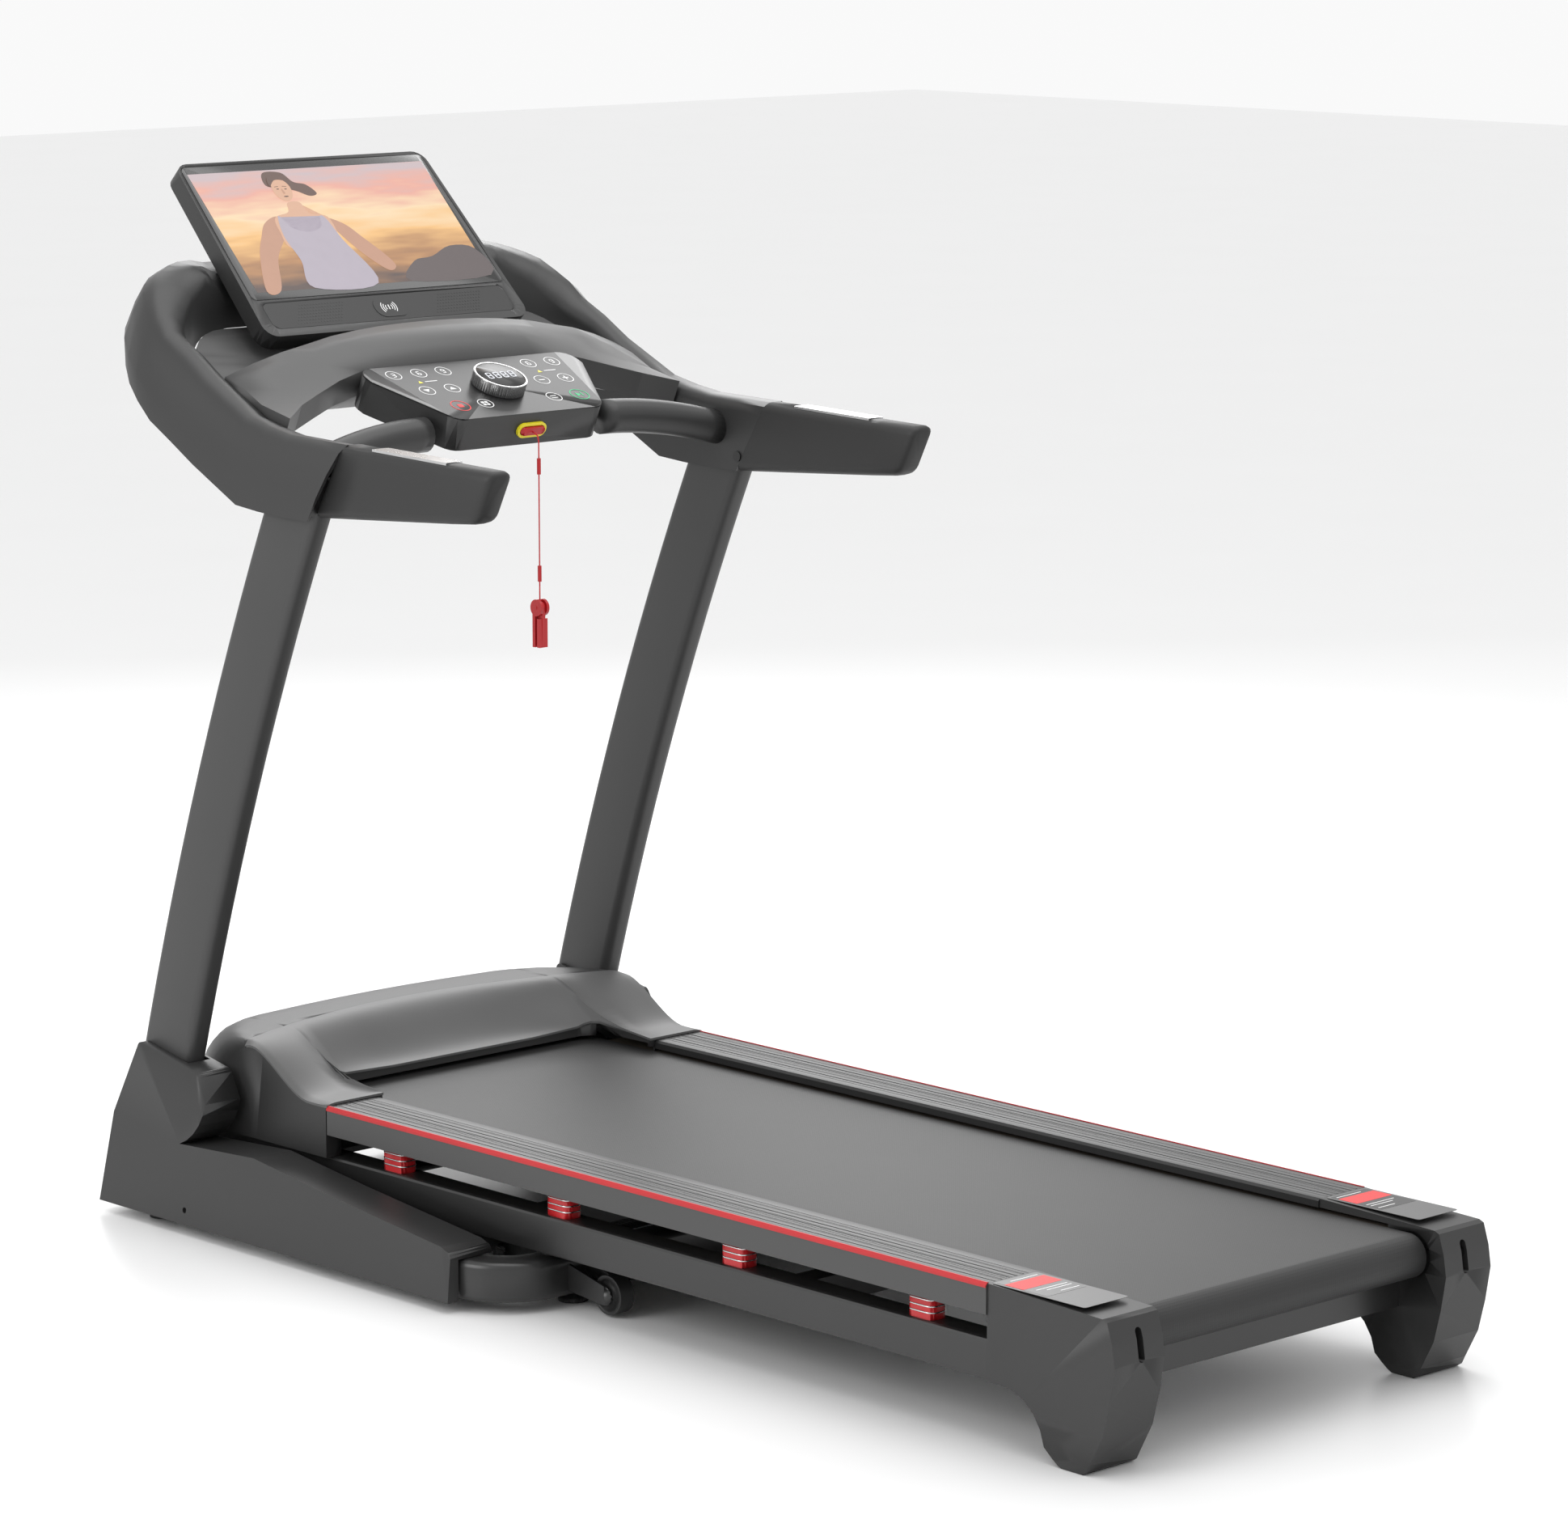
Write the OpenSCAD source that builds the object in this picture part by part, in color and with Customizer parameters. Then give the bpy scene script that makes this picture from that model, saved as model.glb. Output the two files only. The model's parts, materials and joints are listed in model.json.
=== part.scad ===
// Folding motorised treadmill with a powered incline, a touch keypad and a tilting screen.
// The runner faces +Y, the runner's right hand is +X, and the floor is z = 0.
// All sizes are in millimetres.

/* [Deck] */
// Width of the deck over its end caps
deck_w = 650; // [600:10:780]
// Length of each foot rail, from the end cap to the motor hood
rail_len = 1191; // [900:1:1430]
// Height of the foot rails' top above the floor
rail_top_z = 192; // [180:1:215]
// Width of each foot rail
rail_w = 84; // [70:1:100]
// Depth of the foot rail's outer skirt
skirt_h = 37; // [30:1:44]
// Height of each deck side tube
side_tube_h = 50; // [42:1:60]
// Width of each deck side tube
side_tube_w = 40; // [34:1:48]
// Thickness of the running board
board_t = 20; // [16:1:24]
// Thickness of the running belt
belt_t = 2; // [1.6:0.1:2.5]
// Radius of the two belt rollers
roller_r = 24.6; // [20:0.1:26]
// Number of cushions under each side of the board
cushion_count = 4; // [3:1:5]

/* [Base] */
// Height of the base covers at the upright's front
cover_h = 237; // [200:1:284]
// Width of each base cover at the floor
cover_w = 72; // [66:1:86]
// Depth of each upright's section, front to back
upright_d = 98; // [84:1:110]
// Thickness of each upright's section
upright_t = 34; // [28:1:40]
// How far the upright bows forward of a straight line
upright_bow = 15; // [8:1:18]
// Radius of each transport wheel
wheel_r = 25; // [20:1:27]

/* [Console] */
// Height of the console above the floor, at the top of the uprights
console_z = 962; // [800:1:1150]
// Diameter of the speed knob
knob_d = 72; // [60:1:86]
// Width of the screen housing at its top
screen_w = 424; // [350:1:480]
// Length of the screen housing from top to bottom
screen_l = 300; // [270:1:320]
// Thickness of the screen housing
screen_t = 26; // [22:1:31]
// Width of each grip
grip_w = 39; // [34:1:44]

/* [Hidden] */
$fn = 48;
fit = 0.05;              // radial clearance of a turning shaft in its bore

// Widths, measured from the middle plane
half_w = deck_w / 2;
rail_out = half_w + 2;
rail_in = rail_out - rail_w - 2;
belt_half = rail_in - 3;
board_half = half_w - 24;
tube_out = half_w - 9;
tube_in = tube_out - side_tube_w;
cover_in = half_w + 14;
cover_out = cover_in + cover_w;
upright_x = half_w + 36;
ring_out = half_w + 63;
arm_in = half_w + 14;
grip_x = half_w + 33;
arm_x = tube_in - 30;            // middle of each lift arm
lift_arm_w = 24;

// Stations along the length
rail_front_y = 473;
cap_front_y = rail_front_y - rail_len;
cap_len = 190;
cap_rear_y = cap_front_y - cap_len;
cap_bulge = 9;
rear_roller_y = cap_front_y - 146;
front_roller_y = 610;
lift_pivot = [200, 45];          // y, z of the lift arms' pivot on the base
deck_pivot = [760, 110];         // y, z of the pin that the deck folds about
deck_front_y = 790;
hood_front_y = 850;
cover_front_y = 853;
cover_rear_y = 134;
bar_y0 = 57;                     // rear crossbar of the base
bar_y1 = 107;
bar_z0 = 14;
bar_z1 = 66;
bend_r = 45;                     // inner radius of the crossbar's bends
wheel_y = -10;
wheel_z = 28;
foot_h = 14;

// Heights in the deck
belt_top_z = rail_top_z - 14;
board_top_z = belt_top_z - belt_t;
board_z = board_top_z - board_t;
roller_z = board_top_z - roller_r - 0.4;
skirt_z = rail_top_z - skirt_h;
side_tube_z1 = rail_top_z - 68;
side_tube_z0 = side_tube_z1 - side_tube_h;

// Uprights: the middle of each section at the cover and at the console
upright_bot = [748, 226];
upright_top = [472, console_z];
upright_r = 12;
upright_wall = 2;

/* ---------- helpers ---------- */

// Block between two opposite corners
module block(a, b) { translate(a) cube(b - a); }
// Extrusion of a (x, z) outline along Y
module along_y(y0, y1) { translate([0, y1, 0]) rotate([90, 0, 0]) linear_extrude(height = y1 - y0) children(); }
// Extrusion of a (y, z) outline along X
module along_x(x0, x1) { translate([x0, 0, 0]) rotate([90, 0, 90]) linear_extrude(height = x1 - x0) children(); }
// Freeform piece kept as one closed surface
module one_piece() { resize([0, 0, 0]) children(); }
// Round bar along X between two stations
module rod_x(x0, x1, y, z, r) { translate([x0, y, z]) rotate([0, 90, 0]) cylinder(h = x1 - x0, r = r); }
// Both sides of the machine
module both() { children(); mirror([1, 0, 0]) children(); }
// Places children at (y, z), turned about the X axis
module at_yz(p, a) { translate([0, p[0], p[1]]) rotate([a, 0, 0]) children(); }

function arc(c, r, a0, a1, n) = [for (i = [0:n]) let (a = a0 + (a1 - a0) * i / n) c + r * [cos(a), sin(a)]];
// Rounded rectangle, centred, as an outline with n steps to each corner
function rrect(w, h, r, n = 4) = concat(
    arc([w/2 - r, h/2 - r], r, 0, 90, n), arc([r - w/2, h/2 - r], r, 90, 180, n),
    arc([r - w/2, r - h/2], r, 180, 270, n), arc([w/2 - r, r - h/2], r, 270, 360, n));
// Long round-ended outline around two centres on one level
function stadium(y0, y1, z, r, n = 20) = concat(arc([y1, z], r, 90, -90, n), arc([y0, z], r, 270, 90, n));
function ease(s) = let (t = max(0, min(1, s))) t * t * (3 - 2 * t);
function mix(a, b, t) = a + (b - a) * t;
// Value at x on a smooth curve through rows of [x, value, value, ...]
function along(rows, x, i = 0) =
    (i >= len(rows) - 2 || x <= rows[i + 1][0])
        ? let (a = rows[i], b = rows[i + 1], t = (x - a[0]) / (b[0] - a[0])) mix(a, b, t)
        : along(rows, x, i + 1);
// Outline moved inwards by d; its points run anticlockwise
function inset(p, d) = [for (i = [0:len(p) - 1]) let (
    a = p[(i + len(p) - 1) % len(p)], b = p[i], c = p[(i + 1) % len(p)],
    u = (b - a) / norm(b - a), v = (c - b) / norm(c - b),
    m = [-u[1], u[0]], n = [-v[1], v[0]]) b + (m + n) / (1 + m * n) * d];
function flipped(r) = [for (i = [len(r) - 1:-1:0]) r[i]];
// Closed skin over rings with equal point counts, capped at both ends. Each ring runs
// anticlockwise as seen by someone whom the rings come towards.
module skin(rings) {
    n = len(rings[0]);
    m = len(rings);
    polyhedron(
        points = [for (r = rings) each r],
        faces = concat(
            [for (j = [0:m - 2], i = [0:n - 1]) each [
                [j * n + i, (j + 1) * n + (i + 1) % n, j * n + (i + 1) % n],
                [j * n + i, (j + 1) * n + i, (j + 1) * n + (i + 1) % n]]],
            [[for (i = [0:n - 1]) i]],
            [[for (i = [n - 1:-1:0]) (m - 1) * n + i]]));
}

/* ---------- base ---------- */

// Side view of a base cover, anticlockwise from the rear foot
cover_outline = concat(
    [[cover_rear_y, foot_h], [cover_front_y, foot_h], [cover_front_y - 21, mix(foot_h, cover_h, 0.55)]],
    arc([cover_front_y - 72, cover_h - 8], 8, 10, 90, 3),
    arc([cover_front_y - 190, cover_h - 30], 8, 80, 160, 3),
    arc([cover_front_y - 138, cover_h - 46], 78, 190, 250, 5),
    [[cover_front_y - 320, 126], [cover_front_y - 480, 106], [cover_front_y - 700, 82]],
    arc([cover_rear_y + 8, 70], 8, 90, 180, 3));

function cover_ring(p, x, draft) = [for (q = p) [x - draft * max(0, q[1] - foot_h), q[0], q[1]]];

module cover_shell() {
    wall = 3;
    inner = inset(cover_outline, wall);
    floor_cut = cover_front_y - 39;
    low = [for (q = inner) [q[0], q[1] < foot_h + 2 * wall ? foot_h - 1 : q[1]]];
    one_piece() difference() {
        skin([cover_ring(cover_outline, cover_in, 0), cover_ring(cover_outline, cover_out, 0.09)]);
        skin([cover_ring(low, cover_in + wall, 0), cover_ring(low, cover_out - wall, 0.09)]);
        // mouth for the upright, and its slanted way down
        along_x(upright_x - upright_t/2 - 1, upright_x + upright_t/2 + 1)
            polygon([for (q = [[-1, 150], [1, 150], [1, 300], [-1, 300]])
                [upright_mid_y(q[1]) + q[0] * (upright_d / 2 / cos(18) + 2), q[1]]]);
        // notches around the rear crossbar and the front tube
        block([cover_in - 1, cover_rear_y - 1, 0], [cover_in + 3 + bar_y1 - bar_y0 + 1, cover_rear_y + 5, bar_z1 + 1]);
        block([cover_in - 1, cover_rear_y - 1, 0], [cover_in + 3, bar_y1 + bend_r, bar_z1 + 1]);
        block([cover_in - 1, floor_cut, 0], [cover_in + 4, floor_cut + 30, 41]);
        // screw hole in the outer wall
        translate([cover_out - 20, 670, 33]) rotate([0, 90, 0]) cylinder(h = 30, r = 4, $fn = 24);
    }
}
module left_base_cover() { color([0.12, 0.12, 0.125]) mirror([1, 0, 0]) cover_shell(); }
module right_base_cover() { color([0.12, 0.12, 0.125]) cover_shell(); }

// Arc through both ends of the upright's middle line
upright_chord = upright_top - upright_bot;
upright_len = norm(upright_chord);
upright_big_r = upright_len * upright_len / (8 * upright_bow) + upright_bow / 2;
upright_dir = upright_chord / upright_len;
upright_c = (upright_bot + upright_top) / 2
    + [-upright_dir[1], upright_dir[0]] * (upright_big_r - upright_bow);
function upright_angle(p) = atan2(p[1] - upright_c[1], p[0] - upright_c[0]);
function upright_mid_y(z) = upright_c[0] + sqrt(pow(upright_big_r, 2) - pow(z - upright_c[1], 2));
socket_z = 150;                  // foot of the upright, inside the cover
upright_a0 = upright_angle([upright_mid_y(socket_z), socket_z]);
upright_a1 = upright_angle(upright_top) + 30 / upright_big_r * 180 / PI;

// Part of a bent upright: an outline swept along the big arc
module upright_sweep(outline, a0, a1) {
    translate([upright_x, upright_c[0], upright_c[1]]) rotate([90, 0, 90])
        rotate_extrude(angle = a1 - a0, start = a0, $fn = 720)
            translate([upright_big_r, 0]) polygon(outline);
}
module below_socket() { block([upright_x - 40, 400, 0], [upright_x + 40, 1000, socket_z]); }
module upright() {
    difference() {
        upright_sweep(rrect(upright_d, upright_t, upright_r), upright_a0 - 0.5, upright_a1);
        upright_sweep(rrect(upright_d - 2 * upright_wall, upright_t - 2 * upright_wall,
            upright_r - upright_wall), upright_a0 - 0.6, upright_a1 + 0.1);
        below_socket();
    }
}
module left_upright() { color([0.2, 0.2, 0.205]) mirror([1, 0, 0]) upright(); }
module right_upright() { color([0.2, 0.2, 0.205]) upright(); }

// Floor tubes inside the covers, each with the post that its upright stands on
floor_x = cover_in + 3;          // inner side of the floor tubes, against the cover's wall
front_tube_y = cover_front_y - 38;
module base_side_tubes() {
    bar_d = bar_y1 - bar_y0;
    color([0.1, 0.1, 0.1]) both() {
        difference() {
            union() {
                block([floor_x, bar_y1 + bend_r, bar_z0], [floor_x + bar_d, front_tube_y, bar_z1]);
                block([upright_x - 14, upright_mid_y(socket_z) - 62, bar_z1],
                    [upright_x + 14, min(front_tube_y, upright_mid_y(socket_z) + 58), socket_z]);
            }
            block([floor_x + 3, bar_y1 + bend_r - 1, bar_z0 + 3], [floor_x + bar_d - 3, front_tube_y + 1, bar_z1 - 3]);
        }
        // stub inside the upright
        difference() {
            upright_sweep(rrect(upright_d - 2 * upright_wall, upright_t - 2 * upright_wall,
                upright_r - upright_wall), upright_a0 - 0.5, upright_a0 + 1.2);
            below_socket();
        }
    }
}
module base_front_tube() {
    x1 = floor_x + 36;
    trunnion = motor_trunnion;
    color([0.1, 0.1, 0.1]) {
        difference() {
            block([-x1, front_tube_y, 18], [x1, front_tube_y + 28, 40]);
            block([-x1 - 1, front_tube_y + 2, 20], [x1 + 1, front_tube_y + 26, 38]);
        }
        // fork that the incline motor swings on
        for (x = [incline_x - 18, incline_x + 14]) along_x(x, x + 4) polygon([[trunnion[0] - 14, 18],
            [front_tube_y, 18], [front_tube_y, 30], [trunnion[0] + 16, 30],
            [trunnion[0] + 10, trunnion[1] + 10], [trunnion[0] - 8, trunnion[1] + 10]]);
        rod_x(incline_x - 18, incline_x + 18, trunnion[0], trunnion[1], 5 - fit);
    }
}
// Rear crossbar: a straight tube with a quarter bend at each end
module base_rear_tube() {
    bar_d = bar_y1 - bar_y0;
    mid_z = (bar_z0 + bar_z1) / 2;
    bend_x = floor_x - bend_r;
    tube = rrect(bar_d, bar_z1 - bar_z0, 9, 3);
    hole = rrect(bar_d - 5, bar_z1 - bar_z0 - 5, 7, 3);
    color([0.09, 0.09, 0.09]) {
        translate([0, (bar_y0 + bar_y1) / 2, mid_z]) rotate([90, 0, 90])
            translate([0, 0, -bend_x]) linear_extrude(height = 2 * bend_x)
                difference() { polygon(tube); polygon(hole); }
        both() {
            translate([bend_x, bar_y1 + bend_r, mid_z])
                rotate_extrude(angle = 90, start = 270, $fn = 96)
                    translate([bend_r + bar_d / 2, 0]) difference() { polygon(tube); polygon(hole); }
            // ears that carry the lift arms
            difference() {
                along_x(arm_x + 14, arm_x + 21) polygon([[bar_y1, 20], [lift_pivot[0] + 16, 20],
                    [lift_pivot[0] + 16, lift_pivot[1] + 16], [lift_pivot[0] - 20, lift_pivot[1] + 16], [bar_y1, 60]]);
                rod_x(arm_x, arm_x + 40, lift_pivot[0], lift_pivot[1], 8 + fit);
            }
        }
    }
}
// Four floor feet, and the two buffers that the deck tubes rest over
module base_feet() {
    mid_y = (bar_y0 + bar_y1) / 2;
    color([0.06, 0.06, 0.06]) both() {
        for (p = [[floor_x + 25, cover_front_y - 83], [half_w - 75, mid_y]]) translate([p[0], p[1], 0]) {
            cylinder(h = 6, r = 19);
            translate([0, 0, 6]) cylinder(h = bar_z0 - 6, r = 9);
        }
        translate([half_w - 38, mid_y, bar_z1]) cylinder(h = side_tube_z0 - bar_z1 - 1, r = 13);
    }
}
module wheel_brackets() {
    color([0.1, 0.1, 0.1]) both() {
        for (x = [half_w - 79, half_w - 49])
            along_x(x, x + 4) polygon(concat([[bar_y0, 22], [bar_y0, 56]], arc([wheel_y, wheel_z], 12, 90, 270, 8)));
        rod_x(half_w - 75, half_w - 49, wheel_y, wheel_z, 5);
    }
}
module transport_wheel() {
    difference() {
        union() {
            rod_x(half_w - 73, half_w - 51, wheel_y, wheel_z, wheel_r);
            rod_x(half_w - 74.5, half_w - 49.5, wheel_y, wheel_z, 9);
        }
        rod_x(half_w - 76, half_w - 48, wheel_y, wheel_z, 5 + fit);
        for (x = [half_w - 74, half_w - 54]) difference() {
            rod_x(x, x + 4, wheel_y, wheel_z, wheel_r - 5);
            rod_x(x - 1, x + 5, wheel_y, wheel_z, 9);
        }
    }
}
module left_transport_wheel() { color([0.05, 0.05, 0.05]) mirror([1, 0, 0]) transport_wheel(); }
module right_transport_wheel() { color([0.05, 0.05, 0.05]) transport_wheel(); }

/* ---------- incline and fold ---------- */

arm_dir = (deck_pivot - lift_pivot) / norm(deck_pivot - lift_pivot);
arm_angle = atan2(arm_dir[1], arm_dir[0]);
arm_len = norm(deck_pivot - lift_pivot);
incline_lug = lift_pivot + 240 * arm_dir + [0, 4];
motor_trunnion = [590, 36];
incline_x = arm_x - 30;          // middle of the incline motor
strut_foot = [620, 42];
strut_head = [150, 88];

// Two lift arms joined by the tube they turn about
module lift_arms() {
    color([0.13, 0.13, 0.13]) {
        both() difference() {
            union() {
                at_yz(lift_pivot, arm_angle) along_x(arm_x - 12, arm_x + 12)
                    polygon(stadium(0, arm_len, 0, 13, 10));
            }
            rod_x(arm_x - 20, arm_x + 20, deck_pivot[0], deck_pivot[1], 10 + fit);
        }
        both() rod_x(arm_x + 12, arm_x + 24, lift_pivot[0], lift_pivot[1], 8);
        rod_x(12 - arm_x, arm_x - 12, lift_pivot[0], lift_pivot[1], 12);
        rod_x(arm_x - 44, arm_x - 12, incline_lug[0], incline_lug[1], 4);
    }
}
incline_dir = (incline_lug - motor_trunnion) / norm(incline_lug - motor_trunnion);
incline_angle = atan2(incline_dir[1], incline_dir[0]);
incline_len = norm(incline_lug - motor_trunnion);
// Gear motor that drives the screw tube
module incline_motor() {
    color([0.35, 0.35, 0.36]) at_yz(motor_trunnion, incline_angle) translate([incline_x, 0, 0]) difference() {
        union() {
            rotate([-90, 0, 0]) translate([0, 0, -8]) cylinder(h = 120, r = 14);
            block([-15, 20, -16], [15, 85, 16]);
            block([-13, -12, -10], [13, 0, 10]);
        }
        rotate([-90, 0, 0]) translate([0, 0, 30]) cylinder(h = 120, r = 8 + fit);
        rod_x(-20, 20, 0, 0, 5);
    }
}
module incline_screw() {
    color([0.6, 0.6, 0.62]) at_yz(motor_trunnion, incline_angle) translate([incline_x, 0, 0]) difference() {
        union() {
            rotate([-90, 0, 0]) translate([0, 0, 60]) cylinder(h = incline_len - 68, r = 8);
            rotate([-90, 0, 0]) translate([0, 0, incline_len - 20]) cylinder(h = 10, r = 8);
            rod_x(-10, 10, incline_len, 0, 11);
        }
        rod_x(-12, 12, incline_len, 0, 7);
    }
}
// Pin that the deck folds about, with plates down to the strut's foot
module fold_bracket() {
    color([0.3, 0.3, 0.31]) {
        both() {
            rod_x(arm_x - 13, arm_x + 14, deck_pivot[0], deck_pivot[1], 10);
            rod_x(arm_x + 20, tube_out - 6, deck_pivot[0], deck_pivot[1], 10);
            difference() {
                along_x(arm_x + 14, arm_x + 20) polygon([
                    deck_pivot + [14, -10], deck_pivot + [10, 12], deck_pivot + [-14, 10],
                    strut_foot + [-14, 6], strut_foot + [-8, -11], strut_foot + [12, -9]]);
            }
            rod_x(13, arm_x + 14, strut_foot[0], strut_foot[1], 9);
        }
        rod_x(-13, 13, strut_foot[0], strut_foot[1], 6);
    }
}
strut_dir = (strut_head - strut_foot) / norm(strut_head - strut_foot);
strut_angle = atan2(strut_dir[1], strut_dir[0]);
strut_len = norm(strut_head - strut_foot);
module strut_cylinder() {
    color([0.08, 0.08, 0.08]) at_yz(strut_foot, strut_angle) difference() {
        union() {
            rotate([-90, 0, 0]) translate([0, 0, 8]) cylinder(h = 300, r = 12);
            rod_x(-9, 9, 0, 0, 10.5);
        }
        rod_x(-12, 12, 0, 0, 6 + fit);
        rotate([-90, 0, 0]) translate([0, 0, 40]) cylinder(h = 300, r = 5 + fit);
    }
}
module strut_rod() {
    color([0.75, 0.75, 0.77]) at_yz(strut_foot, strut_angle) difference() {
        union() {
            rotate([-90, 0, 0]) translate([0, 0, 150]) cylinder(h = strut_len - 158, r = 5);
            rod_x(-8, 8, strut_len, 0, 10);
        }
        rod_x(-12, 12, strut_len, 0, 6);
    }
}

/* ---------- deck ---------- */

module deck_side_tubes() {
    color([0.16, 0.16, 0.165]) both() difference() {
        along_y(cap_rear_y + 30, deck_front_y) translate([(tube_in + tube_out) / 2, (side_tube_z0 + side_tube_z1) / 2])
            difference() {
                polygon(rrect(side_tube_w, side_tube_h, 4, 2));
                polygon(rrect(side_tube_w - 5, side_tube_h - 5, 2, 2));
            }
        rod_x(tube_in - 5, tube_out + 5, deck_pivot[0], deck_pivot[1], 10 + fit);
    }
}
beam_z1 = side_tube_z1 - 6;
beam_z0 = side_tube_z0 + 10;
beam_d = 36;
rear_beam_y = cap_rear_y + 62;
module beam(y) {
    difference() {
        block([-tube_in, y, beam_z0], [tube_in, y + beam_d, beam_z1]);
        block([-tube_in - 1, y + 2.5, beam_z0 + 2.5], [tube_in + 1, y + beam_d - 2.5, beam_z1 - 2.5]);
    }
}
// Crosswise tubes of the deck frame, and the lug for the strut's head
module deck_cross_members() {
    color([0.12, 0.12, 0.125]) {
        beam(rear_beam_y);
        beam(mix(rear_beam_y, 96, 0.5));
        difference() {
            union() {
                beam(96);
                for (s = [-1, 1]) along_x(s * 14 - 3, s * 14 + 3)
                    polygon([[132, beam_z0], [132, beam_z1], [146, beam_z1], strut_head + [11, 0], strut_head + [6, -10], strut_head + [-6, -10]]);
            }
            rod_x(-30, 30, strut_head[0], strut_head[1], 5);
        }
        // the pin's two ends; the strut's eye moves in the gap between them
        both() rod_x(9, 17, strut_head[0], strut_head[1], 5);
        block([-tube_in, deck_front_y - 8, side_tube_z1 - 16], [tube_in, deck_front_y, side_tube_z1]);
        // two flat bearers under the motor and the control board
        for (y = [motor_axis[0] - 40, motor_axis[0] + 16])
            block([-tube_in - 12, y, side_tube_z1], [tube_in + 12, y + 24, bearer_z]);
    }
}
axle_r = 8;
bearer_z = side_tube_z1 + 4;
motor_axis = [716, bearer_z + 44];
motor_r = 42;
// Blocks on the side tubes that hold the ends of both roller axles
module axle_blocks() {
    color([0.4, 0.4, 0.42]) both() for (y = [rear_roller_y, front_roller_y]) difference() {
        block([tube_in + 2, y - 14, side_tube_z1], [tube_in + 18, y + 14, roller_z + 12]);
        rod_x(tube_in, tube_in + 20, y, roller_z, axle_r + fit);
    }
}
module deck_board() {
    color([0.45, 0.33, 0.22])
        block([-board_half, rear_roller_y + roller_r + 14, board_z], [board_half, front_roller_y - roller_r - 14, board_top_z]);
}
belt_in_r = roller_r + 0.4;
module running_belt() {
    color([0.14, 0.14, 0.14]) along_x(-belt_half, belt_half) difference() {
        polygon(stadium(rear_roller_y, front_roller_y, roller_z, belt_in_r + belt_t));
        polygon(stadium(rear_roller_y, front_roller_y, roller_z, belt_in_r));
    }
}
rib_count = 5;
rib_w = 2;
// Section of the right foot rail: ribbed top, outer skirt, and two webs down to the board
function rail_section() = let (t = 3, z = rail_top_z, pitch = (rail_w - 26) / rib_count) concat(
    [[rail_out, skirt_z], [rail_out, z - 3], [rail_out - 3, z]],
    [for (i = [0:rib_count - 1]) let (x = rail_out - 14 - i * pitch) each
        [[x, z], [x - 0.6, z - 1.2], [x - rib_w, z - 1.2], [x - rib_w - 0.6, z]]],
    [[rail_in + 3, z], [rail_in, z - 3], [rail_in, board_top_z + belt_t + 3], [rail_in + t, board_top_z + belt_t + 3],
     [rail_in + t, z - t - 1.5],
     [rail_in + 22, z - t - 1.5], [rail_in + 22, board_top_z], [rail_in + 25, board_top_z], [rail_in + 25, z - t - 1.5],
     [board_half - 6, z - t - 1.5], [board_half - 6, board_top_z], [board_half - 3, board_top_z], [board_half - 3, z - t - 1.5],
     [rail_out - t, z - t - 1.5], [rail_out - t, skirt_z]]);
module side_rail() { along_y(cap_front_y, rail_front_y) polygon(rail_section()); }
module left_side_rail() { color([0.24, 0.24, 0.245]) mirror([1, 0, 0]) side_rail(); }
module right_side_rail() { color([0.24, 0.24, 0.245]) side_rail(); }
// Thin coloured strip along each rail's outer edge
module rail_stripes() {
    color([0.75, 0.06, 0.1]) both() along_y(cap_front_y, rail_front_y)
        polygon([[rail_out, rail_top_z - 5], [rail_out + 1, rail_top_z - 5], [rail_out + 1, rail_top_z - 2.5],
            [rail_out - 2.5, rail_top_z + 1], [rail_out - 4, rail_top_z + 1], [rail_out - 4, rail_top_z],
            [rail_out - 3, rail_top_z], [rail_out, rail_top_z - 3]]);
}
cushion_first_y = cap_front_y + 123.5;
cushion_pitch = (rail_front_y - 111.5 - cushion_first_y) / (cushion_count - 1);
cushion_x = board_half - 3;
module deck_cushions() {
    color([0.8, 0.05, 0.05]) both() for (i = [0:cushion_count - 1])
        translate([cushion_x, cushion_first_y + i * cushion_pitch, side_tube_z1])
            linear_extrude(height = board_z - side_tube_z1) polygon(rrect(26, 42, 8, 3));
}
// Side view of an end cap: rail line, bulged back, curved leg and foot
cap_outline = let (f = cap_front_y, r = cap_rear_y, z = rail_top_z) concat(
    [[f, z], [f, side_tube_z0 + 3]],
    arc([f - 22, 7], 70, 90, 170, 5),
    [[f - 102, 10], [f - 112, 3], [f - 118, 0], [f - 152, 0], [f - 158, 4]],
    [[r + 27, 14], [r + 8, 50], [r - 2, 90], [r - cap_bulge, 132], [r - 5, z - 34], [r + 3, z - 9], [r + 10, z - 6]]);
cap_in = rail_in + 2;
module end_cap() {
    difference() {
        along_x(cap_in, half_w) polygon(cap_outline);
        // room for the side tube, the axle block and the axle
        block([tube_in - 1, rear_roller_y - 30, side_tube_z0 - 1], [tube_out + 1, cap_front_y + 1, rail_top_z - 8]);
        block([cap_in - 1, rear_roller_y - axle_r - 2, roller_z - axle_r - 2],
            [tube_in + 4, rear_roller_y + axle_r + 2, roller_z + axle_r + 2]);
        // board corner and round mouth around the belt's end
        block([cap_in - 1, rear_roller_y + roller_r + 13, board_z - 1], [board_half + 1, cap_front_y + 1, board_top_z + 5]);
        rod_x(cap_in - 1, cap_in + 8, rear_roller_y, roller_z, belt_in_r + belt_t + 1);
        // seat for the rear cross tube
        block([cap_in - 1, rear_beam_y, beam_z0], [tube_in, rear_beam_y + beam_d, beam_z1]);
        // slot for the belt adjusting bolt
        translate([half_w - 45, cap_rear_y + 30, roller_z]) rotate([90, 0, 0])
            linear_extrude(height = 60) polygon(rrect(10, 40, 4.9, 4));
    }
}
module left_end_cap() { color([0.15, 0.15, 0.155]) mirror([1, 0, 0]) end_cap(); }
module right_end_cap() { color([0.15, 0.15, 0.155]) end_cap(); }

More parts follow.
